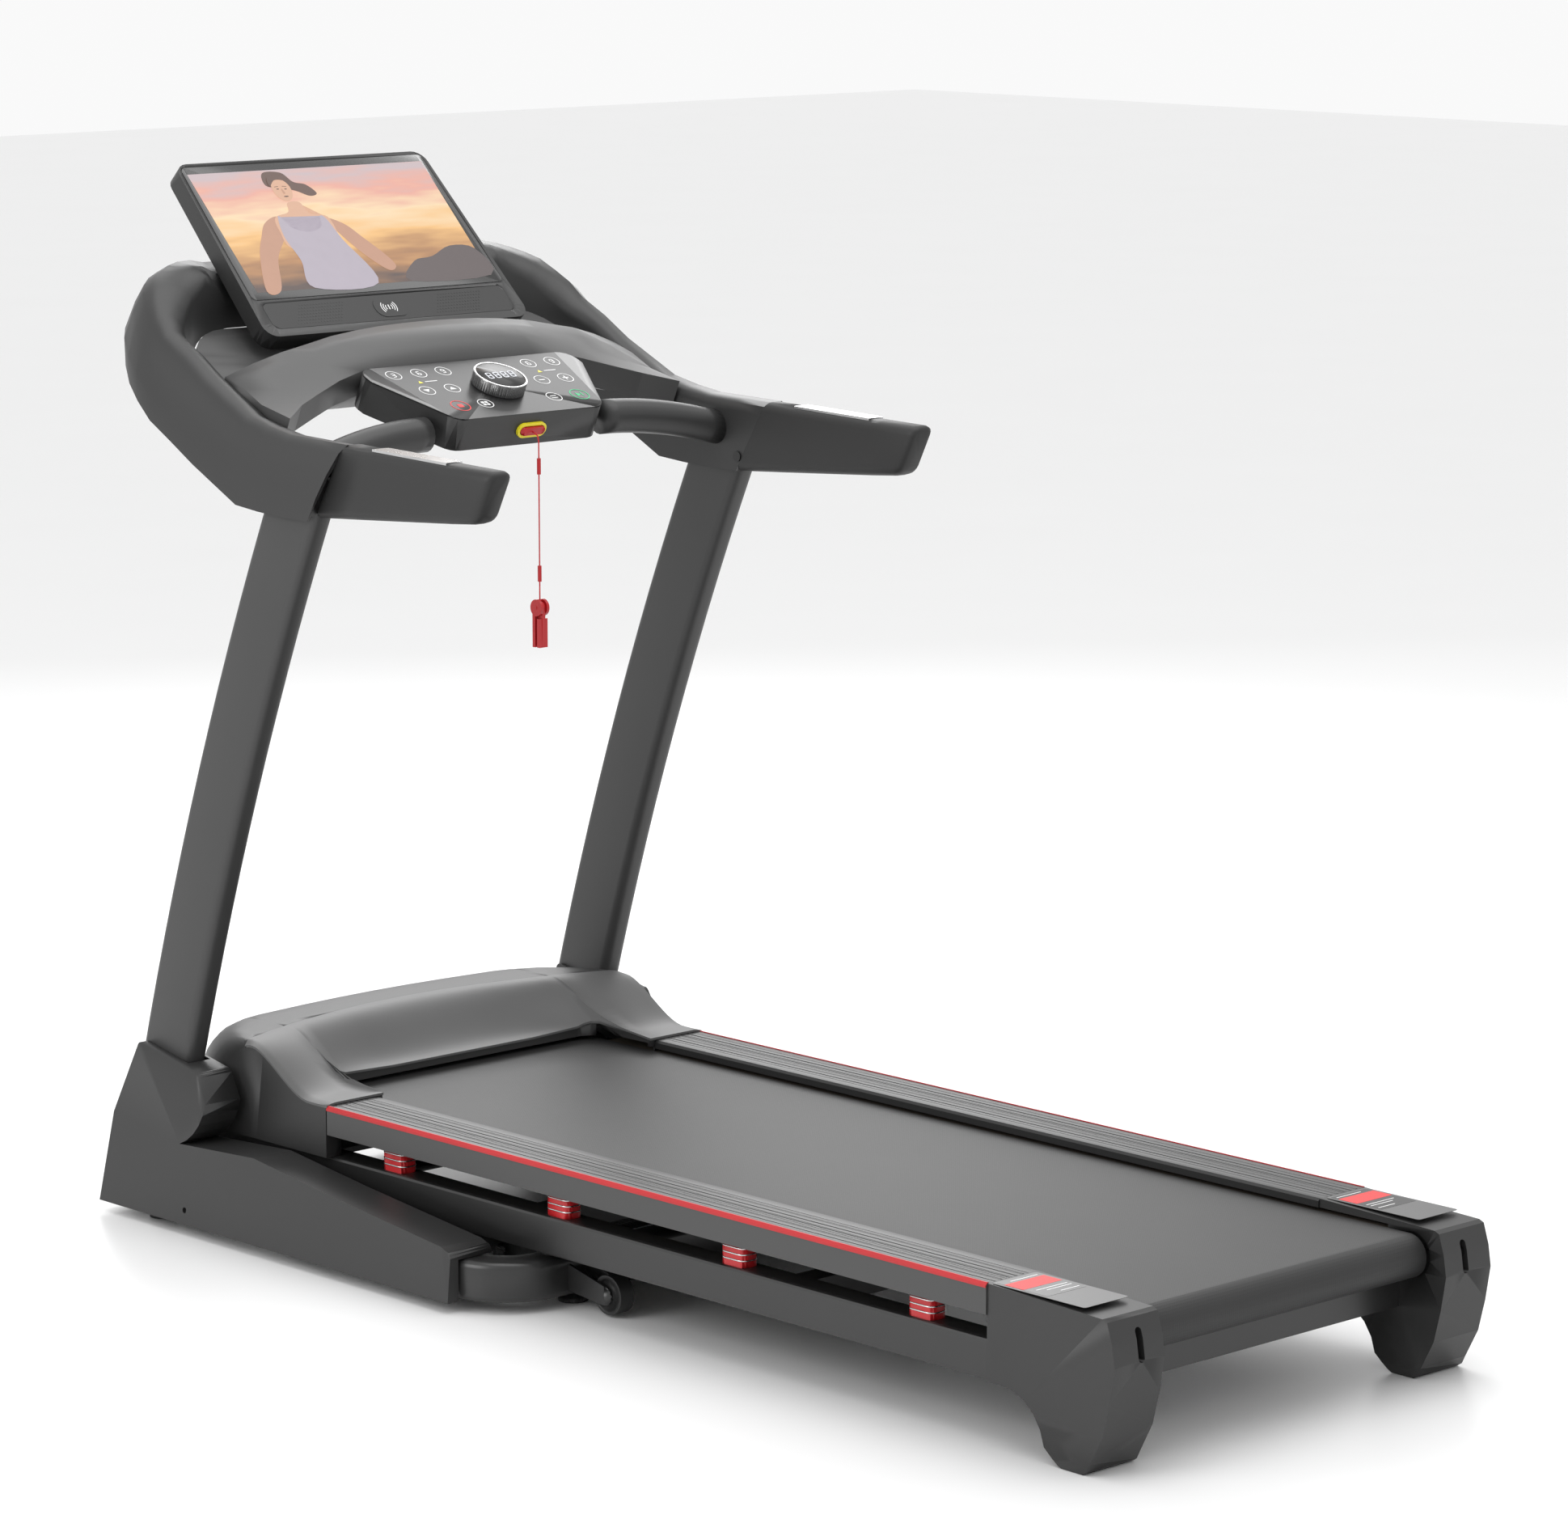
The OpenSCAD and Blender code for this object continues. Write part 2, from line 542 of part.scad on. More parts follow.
// Roller with its crowned tube and axle
module roller(y) {
    tube_x = belt_half - 3;
    difference() {
        rod_x(-tube_x, tube_x, y, roller_z, roller_r);
        rod_x(-tube_x - 1, tube_x + 1, y, roller_z, roller_r - 3.5);
    }
    for (x = [-tube_x + 4, tube_x - 16]) rod_x(x, x + 12, y, roller_z, roller_r - 2);
    rod_x(-tube_in - 17, tube_in + 17, y, roller_z, axle_r);
}
pulley_x = belt_half + 1;
pulley_r0 = 26;
pulley_r1 = 16;
module front_roller() {
    color([0.55, 0.55, 0.57]) {
        roller(front_roller_y);
        rod_x(pulley_x, pulley_x + 20, front_roller_y, roller_z, pulley_r0);
        rod_x(belt_half - 3, pulley_x, front_roller_y, roller_z, 20);
    }
}
module rear_roller() { color([0.55, 0.55, 0.57]) roller(rear_roller_y); }

module drive_motor() {
    color([0.25, 0.25, 0.26]) {
        difference() {
            union() {
                rod_x(40, pulley_x - 14, motor_axis[0], motor_axis[1], motor_r);
                block([60, motor_axis[0] - 40, bearer_z], [190, motor_axis[0] + 40, motor_axis[1] - 28]);
            }
            rod_x(0, pulley_x, motor_axis[0], motor_axis[1], 10 + fit);
            // hollow for the turning core
            rod_x(60, pulley_x - 40, motor_axis[0], motor_axis[1], motor_r - 8);
        }
    }
}
// Turning core of the motor with its flywheel fan and belt pulley
module motor_pulley() {
    color([0.5, 0.5, 0.52]) {
        rod_x(-2, pulley_x + 20, motor_axis[0], motor_axis[1], 10);
        rod_x(66, pulley_x - 46, motor_axis[0], motor_axis[1], motor_r - 12);
        rod_x(pulley_x, pulley_x + 20, motor_axis[0], motor_axis[1], pulley_r1);
        rod_x(-2, 26, motor_axis[0], motor_axis[1], motor_r - 4);
    }
}
belt_gap = 0.4;
// Ribbed drive belt around the two pulleys, drawn as its outer and inner tangent shapes
function wrap(r0, r1) = let (d = motor_axis - [front_roller_y, roller_z], a = atan2(d[1], d[0]), b = acos((r0 - r1) / norm(d)))
    concat(arc([front_roller_y, roller_z], r0, a + b, a + 360 - b, 20), arc(motor_axis, r1, a - b, a + b, 12));
module drive_belt() {
    color([0.05, 0.05, 0.05]) along_x(pulley_x + 2, pulley_x + 18) difference() {
        polygon(wrap(pulley_r0 + belt_gap + 3, pulley_r1 + belt_gap + 3));
        polygon(wrap(pulley_r0 + belt_gap, pulley_r1 + belt_gap));
    }
}
module control_board() {
    color([0.1, 0.3, 0.15]) {
        block([-210, 660, bearer_z], [-70, 780, bearer_z + 3]);
        block([-200, 665, bearer_z + 3], [-190, 775, bearer_z + 46]);
        for (i = [0:3]) translate([-165 + i * 26, 690, bearer_z + 3]) cylinder(h = 34, r = 10);
        block([-170, 730, bearer_z + 3], [-90, 770, bearer_z + 16]);
    }
}

/* ---------- motor hood ---------- */

hood_z0 = side_tube_z1;
hood_top = rail_top_z + 60;
mouth_half = rail_in - 8;        // half width of the mouth that the belt runs into
mouth_y = front_roller_y - 22;
function hood_rear(x) = let (d = abs(x)) d >= mouth_half ? rail_front_y
    : d <= mouth_half - 30 ? mouth_y
    : mouth_y - 30 + sqrt(max(0, 900 - pow(d - mouth_half + 30, 2)));
function hood_nose(x) = let (d = abs(x), c = rail_out - 150)
    d <= c ? hood_front_y - 12 * pow(d / c, 2) : hood_front_y - 162 + 150 * sqrt(max(0, 1 - pow((d - c) / 151, 2)));
// The rise of the saddle starts and ends further forward in the middle
function rise0(x) = mix(mouth_y - 2, 508, ease((abs(x) - 180) / 90));
function rise1(x) = mix(706, 636, pow(abs(x) / rail_out, 2));
function hood_z(x, y) = let (side = 3 * pow(max(0, abs(x) - rail_out + 16) / 16, 2), front = hood_nose(x),
    drop = max(0, y - front + 90) / 90)
    rail_top_z + 4 + (hood_top - rail_top_z - 4) * ease((y - rise0(x)) / (rise1(x) - rise0(x))) - side
    - (hood_top - hood_z0 - 40) * (1 - sqrt(max(0, 1 - drop * drop)));
hood_xs = let (q = [0, 60, 120, mouth_half - 30, mouth_half - 22, mouth_half - 12, mouth_half - 4, mouth_half,
    rail_in + 20, rail_in + 50, rail_out - 14, rail_out - 7, rail_out])
    concat([for (i = [len(q) - 1:-1:1]) -q[i]], q);
hood_steps = 20;
function hood_y(y0, y1, t) = mix(y0, y1, 1 - pow(1 - t, 1.25));
// One lengthwise slice of the hood between two heights over its top surface
function hood_slice(x, y0, y1, low, up, n, ahead = 0) = concat(
    [for (i = [0:n]) let (y = hood_y(y0, y1, i / n)) [x, y, low == undef ? hood_z0 : hood_z(x, y) + low]],
    [for (i = [n:-1:0]) let (y = hood_y(y0, y1, i / n)) [x, y, min(hood_z(x, y), hood_z(x, y + ahead)) + up]]);
saddle_t = 3;
saddle_step = 1.2;               // how far the saddle stands over the hood in front of it
function saddle_front(x) = min(rise1(x) + 6, hood_nose(x) - 40);
module saddle_skin() {
    skin([for (x = hood_xs) hood_slice(x, hood_rear(x), saddle_front(x), -saddle_t, 0, hood_steps)]);
}
module motor_hood() {
    inner_k = (rail_out - 3) / rail_out;
    color([0.13, 0.13, 0.135]) one_piece() difference() {
        skin([for (x = hood_xs) hood_slice(x, hood_rear(x) + 2, hood_nose(x), undef, -saddle_step, hood_steps)]);
        skin([for (x = hood_xs) [for (p = hood_slice(x, hood_rear(x) + 6, hood_nose(x) - 5, undef, -saddle_t - 4, hood_steps, 5))
            [p[0] * inner_k, p[1], p[2] <= hood_z0 ? hood_z0 - 1 : p[2]]]]);
        // the belt and the rails run in under the rear edge
        block([-rail_in - 1, rail_front_y - 5, 0], [rail_in + 1, mouth_y + 12, belt_top_z + 6]);
        block([-board_half - 1, rail_front_y - 5, 0], [board_half + 1, front_roller_y - roller_r - 12, board_top_z + 1]);
        for (up = [0:2.4:12]) translate([0, 0, up]) saddle_skin();
        // windows for the switch and the inlet
        for (x = [switch_x, inlet_x]) block([x - 11, hood_front_y - 30, switch_z - 11], [x + 11, hood_front_y + 1, switch_z + 11]);
    }
}
module hood_saddle() {
    color([0.36, 0.36, 0.365]) one_piece() saddle_skin();
}
switch_x = -150;
inlet_x = -190;
switch_z = hood_z0 + 24;
// Rocker switch on the hood's nose
module power_switch() {
    color([0.7, 0.05, 0.05]) rod_x(switch_x - 9, switch_x + 9, hood_nose(switch_x) - 6, switch_z, 9.5);
}
// Bushing where a supply cord would enter
module power_inlet() {
    color([0.05, 0.05, 0.05]) translate([inlet_x, hood_nose(inlet_x) + 2, switch_z]) difference() {
        block([-11, -14, -11], [11, 0, 11]);
        rotate([90, 0, 0]) translate([0, 0, -1]) cylinder(h = 20, r = 5);
    }
}

/* ---------- console ---------- */

cz = console_z - 962;            // how far the console stands above its usual height
keypad_tilt = 22.6;
keypad_front = [437, 1066 + cz]; // y, z of the panel's front edge
keypad_front_half = 134;
keypad_rear_half = 180;
keypad_len = 150;
keypad_t = 46;
panel_t = 2;

// Half plan of the ring: straight arm, round corner and slightly bowed front
ring_corner = 150;
ring_nose_y = 890;
arm_joint_y = 388;
function ring_path(s) = s <= 1
    ? [ring_out, mix(arm_joint_y, ring_nose_y - ring_corner, s), 1, 0]
    : s <= 2 ? let (a = 90 * (s - 1)) [ring_out - ring_corner + ring_corner * cos(a),
        ring_nose_y - ring_corner + ring_corner * sin(a), cos(a), sin(a)]
    : [mix(ring_out - ring_corner, 0, s - 2), ring_nose_y + 6 * sin(90 * (s - 2)), 0, 1];
// Heights and widths of the ring along its path:
// [station, lower edge, crease, ridge, inner edge, crease inset, ridge inset, inner inset]
ring_rows = [
    [0.00,  960, 1022, 1060, 1054,  2, 18, 48],
    [0.30,  961, 1024, 1064, 1060,  2, 20, 48],
    [0.50,  968, 1034, 1080, 1074,  2, 24, 53],
    [0.75, 1012, 1068, 1124, 1118,  3, 30, 53],
    [0.90, 1042, 1096, 1158, 1148,  4, 34, 56],
    [1.10, 1080, 1150, 1192, 1172,  8, 38, 66],
    [1.40, 1128, 1200, 1228, 1208, 12, 42, 84],
    [1.70, 1150, 1214, 1246, 1222, 14, 42, 90],
    [1.90, 1156, 1218, 1252, 1238, 15, 42, 90],
    [2.00, 1158, 1220, 1252, 1230, 15, 42, 90],
    [2.10, 1160, 1222, 1248, 1204, 15, 42, 88],
    [3.00, 1160, 1224, 1248, 1200, 15, 42, 88]];
ring_t = 4;
// Section of the ring's shell: outside from the lower edge up and over, then back inside
function ring_section(s) = let (p = ring_path(s), h = along(ring_rows, s), n = [p[2], p[3]], c = [p[0], p[1]], t = ring_t)
    [for (q = [[0, h[1]], [-1, mix(h[1], h[2], 0.5)], [h[5], h[2]], [mix(h[5], h[6], 0.4), mix(h[2], h[3], 0.72)],
        [h[6], h[3]], [mix(h[6], h[7], 0.6), mix(h[3], h[4], 0.3)], [h[7], h[4]], [h[7] + 1, h[4] - 12],
        [h[7] + 1, h[1] + 4], [h[7] + 1 - t, h[1] + 4], [h[7] + 1 - t, h[4] - 12 - t],
        [h[6] + 1, h[3] - t - 3], [h[5] + t + 1, h[2] - 2], [t, mix(h[1], h[2], 0.5)], [t, h[1]]])
        [c[0] - n[0] * q[0], c[1] - n[1] * q[0], q[1] + cz]];
ring_stations = concat([for (i = [0:8]) i / 8], [for (i = [1:8]) 1 + i / 8], [2.1, 2.3, 2.6, 3]);
joint_z = 1011.5 + cz;
// Slant of the arm's end, where it meets the grip
function slanted(r, s) = [for (p = r) [p[0], p[1] + (1 - min(1, s / 0.25)) * 0.6 * (joint_z - p[2]), p[2]]];
module console_ring() {
    right = [for (s = ring_stations) flipped(slanted(ring_section(s), s))];
    left = [for (i = [len(right) - 2:-1:0]) [for (p = right[i]) [-p[0], p[1], p[2]]]];
    mid_y = upright_mid_y(console_z);
    color([0.2, 0.2, 0.205]) one_piece() difference() {
        union() {
            skin(concat(right, left));
            // sockets for the uprights, and webs that close both ends
            both() along_x(ring_out - 46.5, ring_out - 3) polygon([
                [arm_joint_y + 0.6 * (joint_z - console_z - 4) + 3, console_z + 4], [mid_y + 78, console_z + 14],
                [mid_y + 70, console_z + 50], [mid_y - 70, console_z + 50]]);
            both() along_x(ring_out - 47, ring_out - 3.5) polygon([
                for (q = [[0.5, -46], [5, -46], [5, 6], [0.5, 6]]) [arm_joint_y + q[0] - 0.6 * q[1], joint_z + q[1]]]);
        }
        // mouths for the uprights
        both() along_x(upright_x - upright_t/2, upright_x + upright_t/2)
            polygon([for (q = [[-1, -60], [1, -60], [1, 56], [-1, 56]])
                [upright_mid_y(console_z + q[1]) + q[0] * (upright_d / 2 / cos(25) + 0.5), console_z + q[1]]]);
    }
}
// Arched dashboard: rows of [x, top y, top z, fold y, fold z, lower y, lower z]
dash_rows = [
    [0,   648, 1171, 598, 1154, 577, 1126],
    [70,  647, 1170, 598, 1152, 577, 1125],
    [140, 645, 1165, 600, 1145, 577, 1123],
    [185, 643, 1159, 602, 1136, 578, 1121],
    [215, 643, 1152, 602, 1129, 573, 1109],
    [250, 643, 1146, 600, 1118, 562, 1100],
    [300, 648, 1132, 590, 1101, 545, 1086],
    [332, 652, 1120, 578, 1090, 520, 1077]];
dash_half = ring_out - 55.5;
well_back = [645, 1068 + cz];    // y, z where the well's floor leaves the dash
well_tilt = 33;
function dash_section(x) = let (h = along(dash_rows, abs(x) * 332 / dash_half), tray = h[6] - 34) [
    [x, h[5] + 15, tray + cz], [x, h[5], h[6] + cz], [x, h[3], h[4] + cz], [x, mix(h[3], h[1], 0.5), mix(h[4], h[2], 0.6) + cz],
    [x, h[1], h[2] + cz], [x, h[1] + 4, h[2] - 6 + cz], [x, h[1] + 4, 1068 + cz], [x, h[1] - 10, 1068 + cz]];
module console_dash() {
    xs = [for (i = [-8:8]) dash_half * i / 8];
    color([0.3, 0.3, 0.305]) one_piece() {
        skin([for (x = xs) flipped(dash_section(x))]);
        // floor of the well that the screen stands in
        at_yz(well_back, well_tilt) linear_extrude(height = 6) polygon(concat(
            [[dash_half - 3, 0], [dash_half - 7, 70]], arc([dash_half - 100, 90], 80, 10, 90, 6),
            arc([100 - dash_half, 90], 80, 90, 170, 6), [[7 - dash_half, 70], [3 - dash_half, 0]]));
    }
}
module keypad_plan(z0, z1, grow) {
    // plan outline in the panel's own plane, front edge at v = 0
    f = keypad_front_half + grow;
    r = keypad_rear_half + grow;
    at_yz(keypad_front, keypad_tilt) translate([0, 0, z0]) linear_extrude(height = z1 - z0)
        polygon(concat(arc([f - 26, 24 - grow], 24, -90, -20, 4), [[r, keypad_len - 34]],
            arc([r - 22, keypad_len + grow - 22], 22, 0, 90, 4), arc([22 - r, keypad_len + grow - 22], 22, 90, 180, 4),
            [[-r, keypad_len - 34]], arc([26 - f, 24 - grow], 24, 200, 270, 4)));
}
module keypad_housing() {
    color([0.1, 0.1, 0.1]) difference() {
        keypad_plan(-keypad_t, -panel_t, 0);
        keypad_plan(4 - keypad_t, -panel_t - 5, -4);
        key_pocket();
        at_yz(keypad_front, keypad_tilt) translate([0, 75, -30]) cylinder(h = 40, r = 9);
    }
}
module keypad_panel() {
    color([0.05, 0.05, 0.05]) difference() {
        keypad_plan(-panel_t, 0, 0);
        at_yz(keypad_front, keypad_tilt) translate([0, 75, -30]) cylinder(h = 40, r = 9);
    }
}
module keypad_board() {
    color([0.1, 0.35, 0.2]) at_yz(keypad_front, keypad_tilt)
        block([-110, 24, 4 - keypad_t], [110, 130, 6 - keypad_t]);
}
key_x = 4;
key_s = -24;                     // height of the key below the panel's plane
// Round-ended outline for the safety key and its socket
module key_outline(w, h) { polygon(stadium(-(w - h) / 2, (w - h) / 2, 0, h / 2, 10)); }
module key_front(y0, y1, w, h) {
    at_yz(keypad_front, keypad_tilt) translate([key_x, y1, key_s]) rotate([90, 0, 0])
        linear_extrude(height = y1 - y0) key_outline(w, h);
}
module key_pocket() { key_front(-2, 16, 42, 14); }
module key_socket() {
    color([0.8, 0.8, 0.05]) difference() {
        key_front(-4, 0, 48, 20);
        key_front(-5, 1, 41, 13);
    }
}
module safety_key() {
    color([0.8, 0.04, 0.06]) key_front(-7, 12, 39, 11);
}
knob_r = knob_d / 2;
knob_h = 16;
module speed_knob() {
    color([0.75, 0.75, 0.77]) at_yz(keypad_front, keypad_tilt) translate([0, 75, 0]) {
        translate([0, 0, 0.5]) difference() {
            cylinder(h = knob_h, r = knob_r);
            translate([0, 0, knob_h - 2]) cylinder(h = 3, r = knob_r - 2);
        }
        translate([0, 0, -28]) cylinder(h = 28.5, r = 9 - fit);
    }
}
module knob_display() {
    color([0.6, 0.6, 0.62]) at_yz(keypad_front, keypad_tilt) translate([0, 75, knob_h - 1.5])
        cylinder(h = 2.5, r = knob_r - 2);
}
// Bent tubes from the keypad to the arms
bar_r = 23;
function bar_mid(t) = [mix(keypad_front_half + 16, arm_in, t), 476 - 18 * t * t, 1046 - 26 * t * t + cz];
function bar_ring(t, n) = [for (i = [0:n - 1]) let (a = 360 * i / n, p = bar_mid(t))
    [p[0], p[1] + bar_r * cos(a), p[2] + bar_r * sin(a)]];
module handlebars() {
    color([0.17, 0.17, 0.175]) both() one_piece() difference() {
        skin([for (i = [0:10]) bar_ring(i / 10, 20)]);
        keypad_plan(-keypad_t - 8, 10, 0);
    }
}

// Grips: slanted joint at the front, round-cornered end at the rear
grip_rear_y = 84;
function grip_top(y) = mix(1050, 1060, (y - grip_rear_y) / (arm_joint_y - grip_rear_y)) + cz;
function grip_low(y) = mix(984, 963, (y - grip_rear_y) / (arm_joint_y - grip_rear_y)) + cz;
function grip_ring(y, shrink, lean) = let (t = grip_top(y), b = grip_low(y), m = (t + b) / 2)
    [for (q = flipped(rrect(grip_w - 2 * shrink, t - b - 2 * shrink, 13 - shrink, 4)))
        [grip_x + q[0], y + lean * (m - (m + q[1])) / (t - b), m + q[1]]];
module grip() {
    skin([for (q = [[grip_rear_y + 8, 7, 34], [grip_rear_y + 12, 2, 34], [grip_rear_y + 20, 0, 34],
        [grip_rear_y + 72, 0, 20], [arm_joint_y - 72, 0, 40], [arm_joint_y, 0, 0.6 * (grip_top(arm_joint_y) - grip_low(arm_joint_y))]]) grip_ring(q[0], q[1], q[2])]);
}
module left_grip() { color([0.11, 0.11, 0.11]) mirror([1, 0, 0]) grip_cut(); }
module right_grip() { color([0.11, 0.11, 0.11]) grip_cut(); }
plate_y0 = 168;
plate_y1 = 310;
module grip_cut() {
    difference() {
        grip();
        pulse_solid(0.1, 4);
    }
}
module pulse_solid(clear, up) {
    translate([grip_x, plate_y0, grip_top(plate_y0)]) rotate([atan2(10, arm_joint_y - grip_rear_y), 0, 0])
        block([-13 - clear, -clear, -5 - clear], [13 + clear, plate_y1 - plate_y0 + clear, up]);
}
// Metal and dark contact plates let into the grips' tops
module pulse_plates() {
    color([0.8, 0.8, 0.82]) both() pulse_solid(0, 1.5);
}

/* ---------- screen ---------- */

screen_tilt = 45;
screen_top = [912, 1372 + cz];   // y, z of the front face's top edge
screen_mid = screen_top - [cos(screen_tilt), sin(screen_tilt)] * screen_l;
// Places children on the screen's face: x right, y up the face, z out of it
module on_screen() { at_yz(screen_mid, screen_tilt) children(); }
function screen_plan(w0, w1, l, r) = concat(
    arc([w0/2 - r, r], r, -90, 0, 5), arc([w1/2 - r, l - r], r, 0, 90, 5),
    arc([r - w1/2, l - r], r, 90, 180, 5), arc([r - w0/2, r], r, 180, 270, 5));
glass_low = 62;                  // height of the glass's lower edge on the face
module screen_housing() {
    color([0.13, 0.13, 0.135]) on_screen() difference() {
        translate([0, 0, -screen_t]) linear_extrude(height = screen_t) polygon(screen_plan(screen_w + 24, screen_w, screen_l, 20));
        translate([0, 0, -3]) linear_extrude(height = 4)
            polygon([for (p = screen_plan(screen_w + 6, screen_w - 12, screen_l - glass_low - 6, 8)) [p[0], p[1] + glass_low]]);
        translate([0, 12, -2]) linear_extrude(height = 3) polygon([for (p = rrect(screen_w - 12, glass_low - 18, 10)) [p[0], p[1] + glass_low / 2 - 9]]);
        for (s = [-1, 1]) translate([s * 110, 30, 3 - screen_t]) cylinder(h = screen_t - 3.6, r = 22.2);
        // recess for the bracket
        block([-61, 20, -screen_t - 1], [61, 52, 10 - screen_t]);
    }
    // knuckles that turn on the bracket's rod
    color([0.13, 0.13, 0.135]) for (s = [-1, 1]) difference() {
        rod_x(s * 20 - 6, s * 20 + 6, screen_hinge[0], screen_hinge[1], 13.5);
        rod_x(s * 20 - 7, s * 20 + 7, screen_hinge[0], screen_hinge[1], 8 + fit);
    }
}
module screen_glass() {
    color([0.02, 0.02, 0.03]) on_screen() translate([0, 0, -3]) linear_extrude(height = 3.2)
        polygon([for (p = screen_plan(screen_w + 5, screen_w - 13, screen_l - glass_low - 7, 7.5)) [p[0], p[1] + glass_low + 0.5]]);
}
module speaker_grille() {
    color([0.1, 0.1, 0.1]) on_screen() translate([0, 12, -2]) linear_extrude(height = 2)
        polygon([for (p = rrect(screen_w - 13, glass_low - 19, 9.5)) [p[0], p[1] + glass_low / 2 - 9]]);
}
module speakers() {
    color([0.3, 0.3, 0.3]) on_screen() for (s = [-1, 1]) translate([s * 110, 30, 3 - screen_t]) cylinder(h = screen_t - 6, r = 22);
}
hinge_v = 36;                    // hinge line on the back of the screen
hinge_w = -screen_t - 3;
screen_hinge = screen_mid + [cos(screen_tilt) * hinge_v - sin(screen_tilt) * hinge_w, sin(screen_tilt) * hinge_v + cos(screen_tilt) * hinge_w];
// Point on the well's floor at y
function well_top(y) = [y, well_back[1] + (y - well_back[0]) * tan(well_tilt) + 6 / cos(well_tilt)];
// Post in the well that the screen tilts on
module screen_bracket() {
    color([0.15, 0.15, 0.15]) {
        rod_x(-58, 58, screen_hinge[0], screen_hinge[1], 8);
        for (s = [-1, 1]) along_x(s * 40 - 12, s * 40 + 12) polygon([
            well_top(screen_hinge[0] - 4), well_top(screen_hinge[0] + 22),
            screen_hinge + [7, 0], screen_hinge + [-6, -3]]);
    }
}

/* ---------- safety lanyard ---------- */

cord_r = 0.9;
// Route of the lanyard, hand placed: out of the key, over its edge and straight down
cord_route = [[4, 442, 1040], [4, 437, 1039], [4, 432, 1036], [4, 430, 1029], [4, 430, 1015], [4, 430, 995], [4, 430, 970],
    [4, 430, 945], [4, 430, 920], [4, 430, 895], [4, 430, 870], [4, 430, 845], [4, 430, 821.5]];
function sweep_ring(p, d, r, n) = let (w = d / norm(d), u = [1, 0, 0], v = cross(w, u))
    [for (i = [0:n - 1]) p + r * (cos(360 * i / n) * u + sin(360 * i / n) * v) + [0, 0, cz]];
module safety_cord() {
    n = len(cord_route);
    color([0.75, 0.05, 0.05]) skin([for (i = [0:n - 1])
        sweep_ring(cord_route[i], cord_route[min(n - 1, i + 1)] - cord_route[max(0, i - 1)], cord_r, 8)]);
}
module cord_sleeves() {
    color([0.8, 0.05, 0.05]) for (z = [986, 846]) translate([4, 430, z + cz]) cylinder(h = 21, r = 2.6, $fn = 24);
}
clip_pivot = [430, 812 + cz];
module safety_clip() {
    color([0.7, 0.03, 0.05]) translate([4, 0, 0]) {
        difference() {
            union() {
                rod_x(-7, -3, clip_pivot[0], clip_pivot[1], 11);
                rod_x(3, 7, clip_pivot[0], clip_pivot[1], 11);
                block([-7, clip_pivot[0] + 2, clip_pivot[1] - 52], [7, clip_pivot[0] + 7, clip_pivot[1] - 8.5]);
            }
            rod_x(-8, 8, clip_pivot[0], clip_pivot[1], 2 + fit);
        }
        block([-7, clip_pivot[0] - 2, clip_pivot[1] + 8.5], [7, clip_pivot[0] + 2, clip_pivot[1] + 11]);
    }
}
module clip_jaw() {
    color([0.75, 0.04, 0.06]) translate([4, 0, 0]) {
        rod_x(-7.5, 7.5, clip_pivot[0], clip_pivot[1], 2);
        rod_x(-2.6, 2.6, clip_pivot[0], clip_pivot[1], 8);
        along_x(-2.6, 2.6) polygon([[clip_pivot[0] - 8, clip_pivot[1]], [clip_pivot[0], clip_pivot[1] - 8],
            [clip_pivot[0] - 2, clip_pivot[1] - 52], [clip_pivot[0] - 7, clip_pivot[1] - 52]]);
        block([-7, clip_pivot[0] - 7, clip_pivot[1] - 52], [7, clip_pivot[0] - 2, clip_pivot[1] - 14]);
    }
}

base_side_tubes();
base_front_tube();
base_rear_tube();
left_base_cover();
right_base_cover();
left_upright();
right_upright();
base_feet();
wheel_brackets();
left_transport_wheel();
right_transport_wheel();
lift_arms();
incline_motor();
incline_screw();
fold_bracket();
strut_cylinder();
strut_rod();
deck_side_tubes();
deck_cross_members();
axle_blocks();
deck_board();
running_belt();
left_side_rail();
right_side_rail();
rail_stripes();
deck_cushions();
left_end_cap();
right_end_cap();
front_roller();
rear_roller();
motor_hood();
hood_saddle();
drive_motor();
motor_pulley();
drive_belt();
control_board();
power_switch();
power_inlet();
console_ring();
console_dash();
keypad_housing();
keypad_panel();
keypad_board();
key_socket();
handlebars();
left_grip();
right_grip();
pulse_plates();
screen_bracket();
screen_housing();
screen_glass();
speaker_grille();
speakers();
speed_knob();
knob_display();
safety_key();
safety_cord();
cord_sleeves();
safety_clip();
clip_jaw();
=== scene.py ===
# %% [markdown]
# # A folding treadmill, finished in Blender
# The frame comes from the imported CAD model. Each cell adds one piece or one
# finish. Everything is in metres and sits where the CAD puts it.

# %% Load the frame
import json
import math
import bpy
import bmesh
import numpy as np
from mathutils import Matrix, Vector


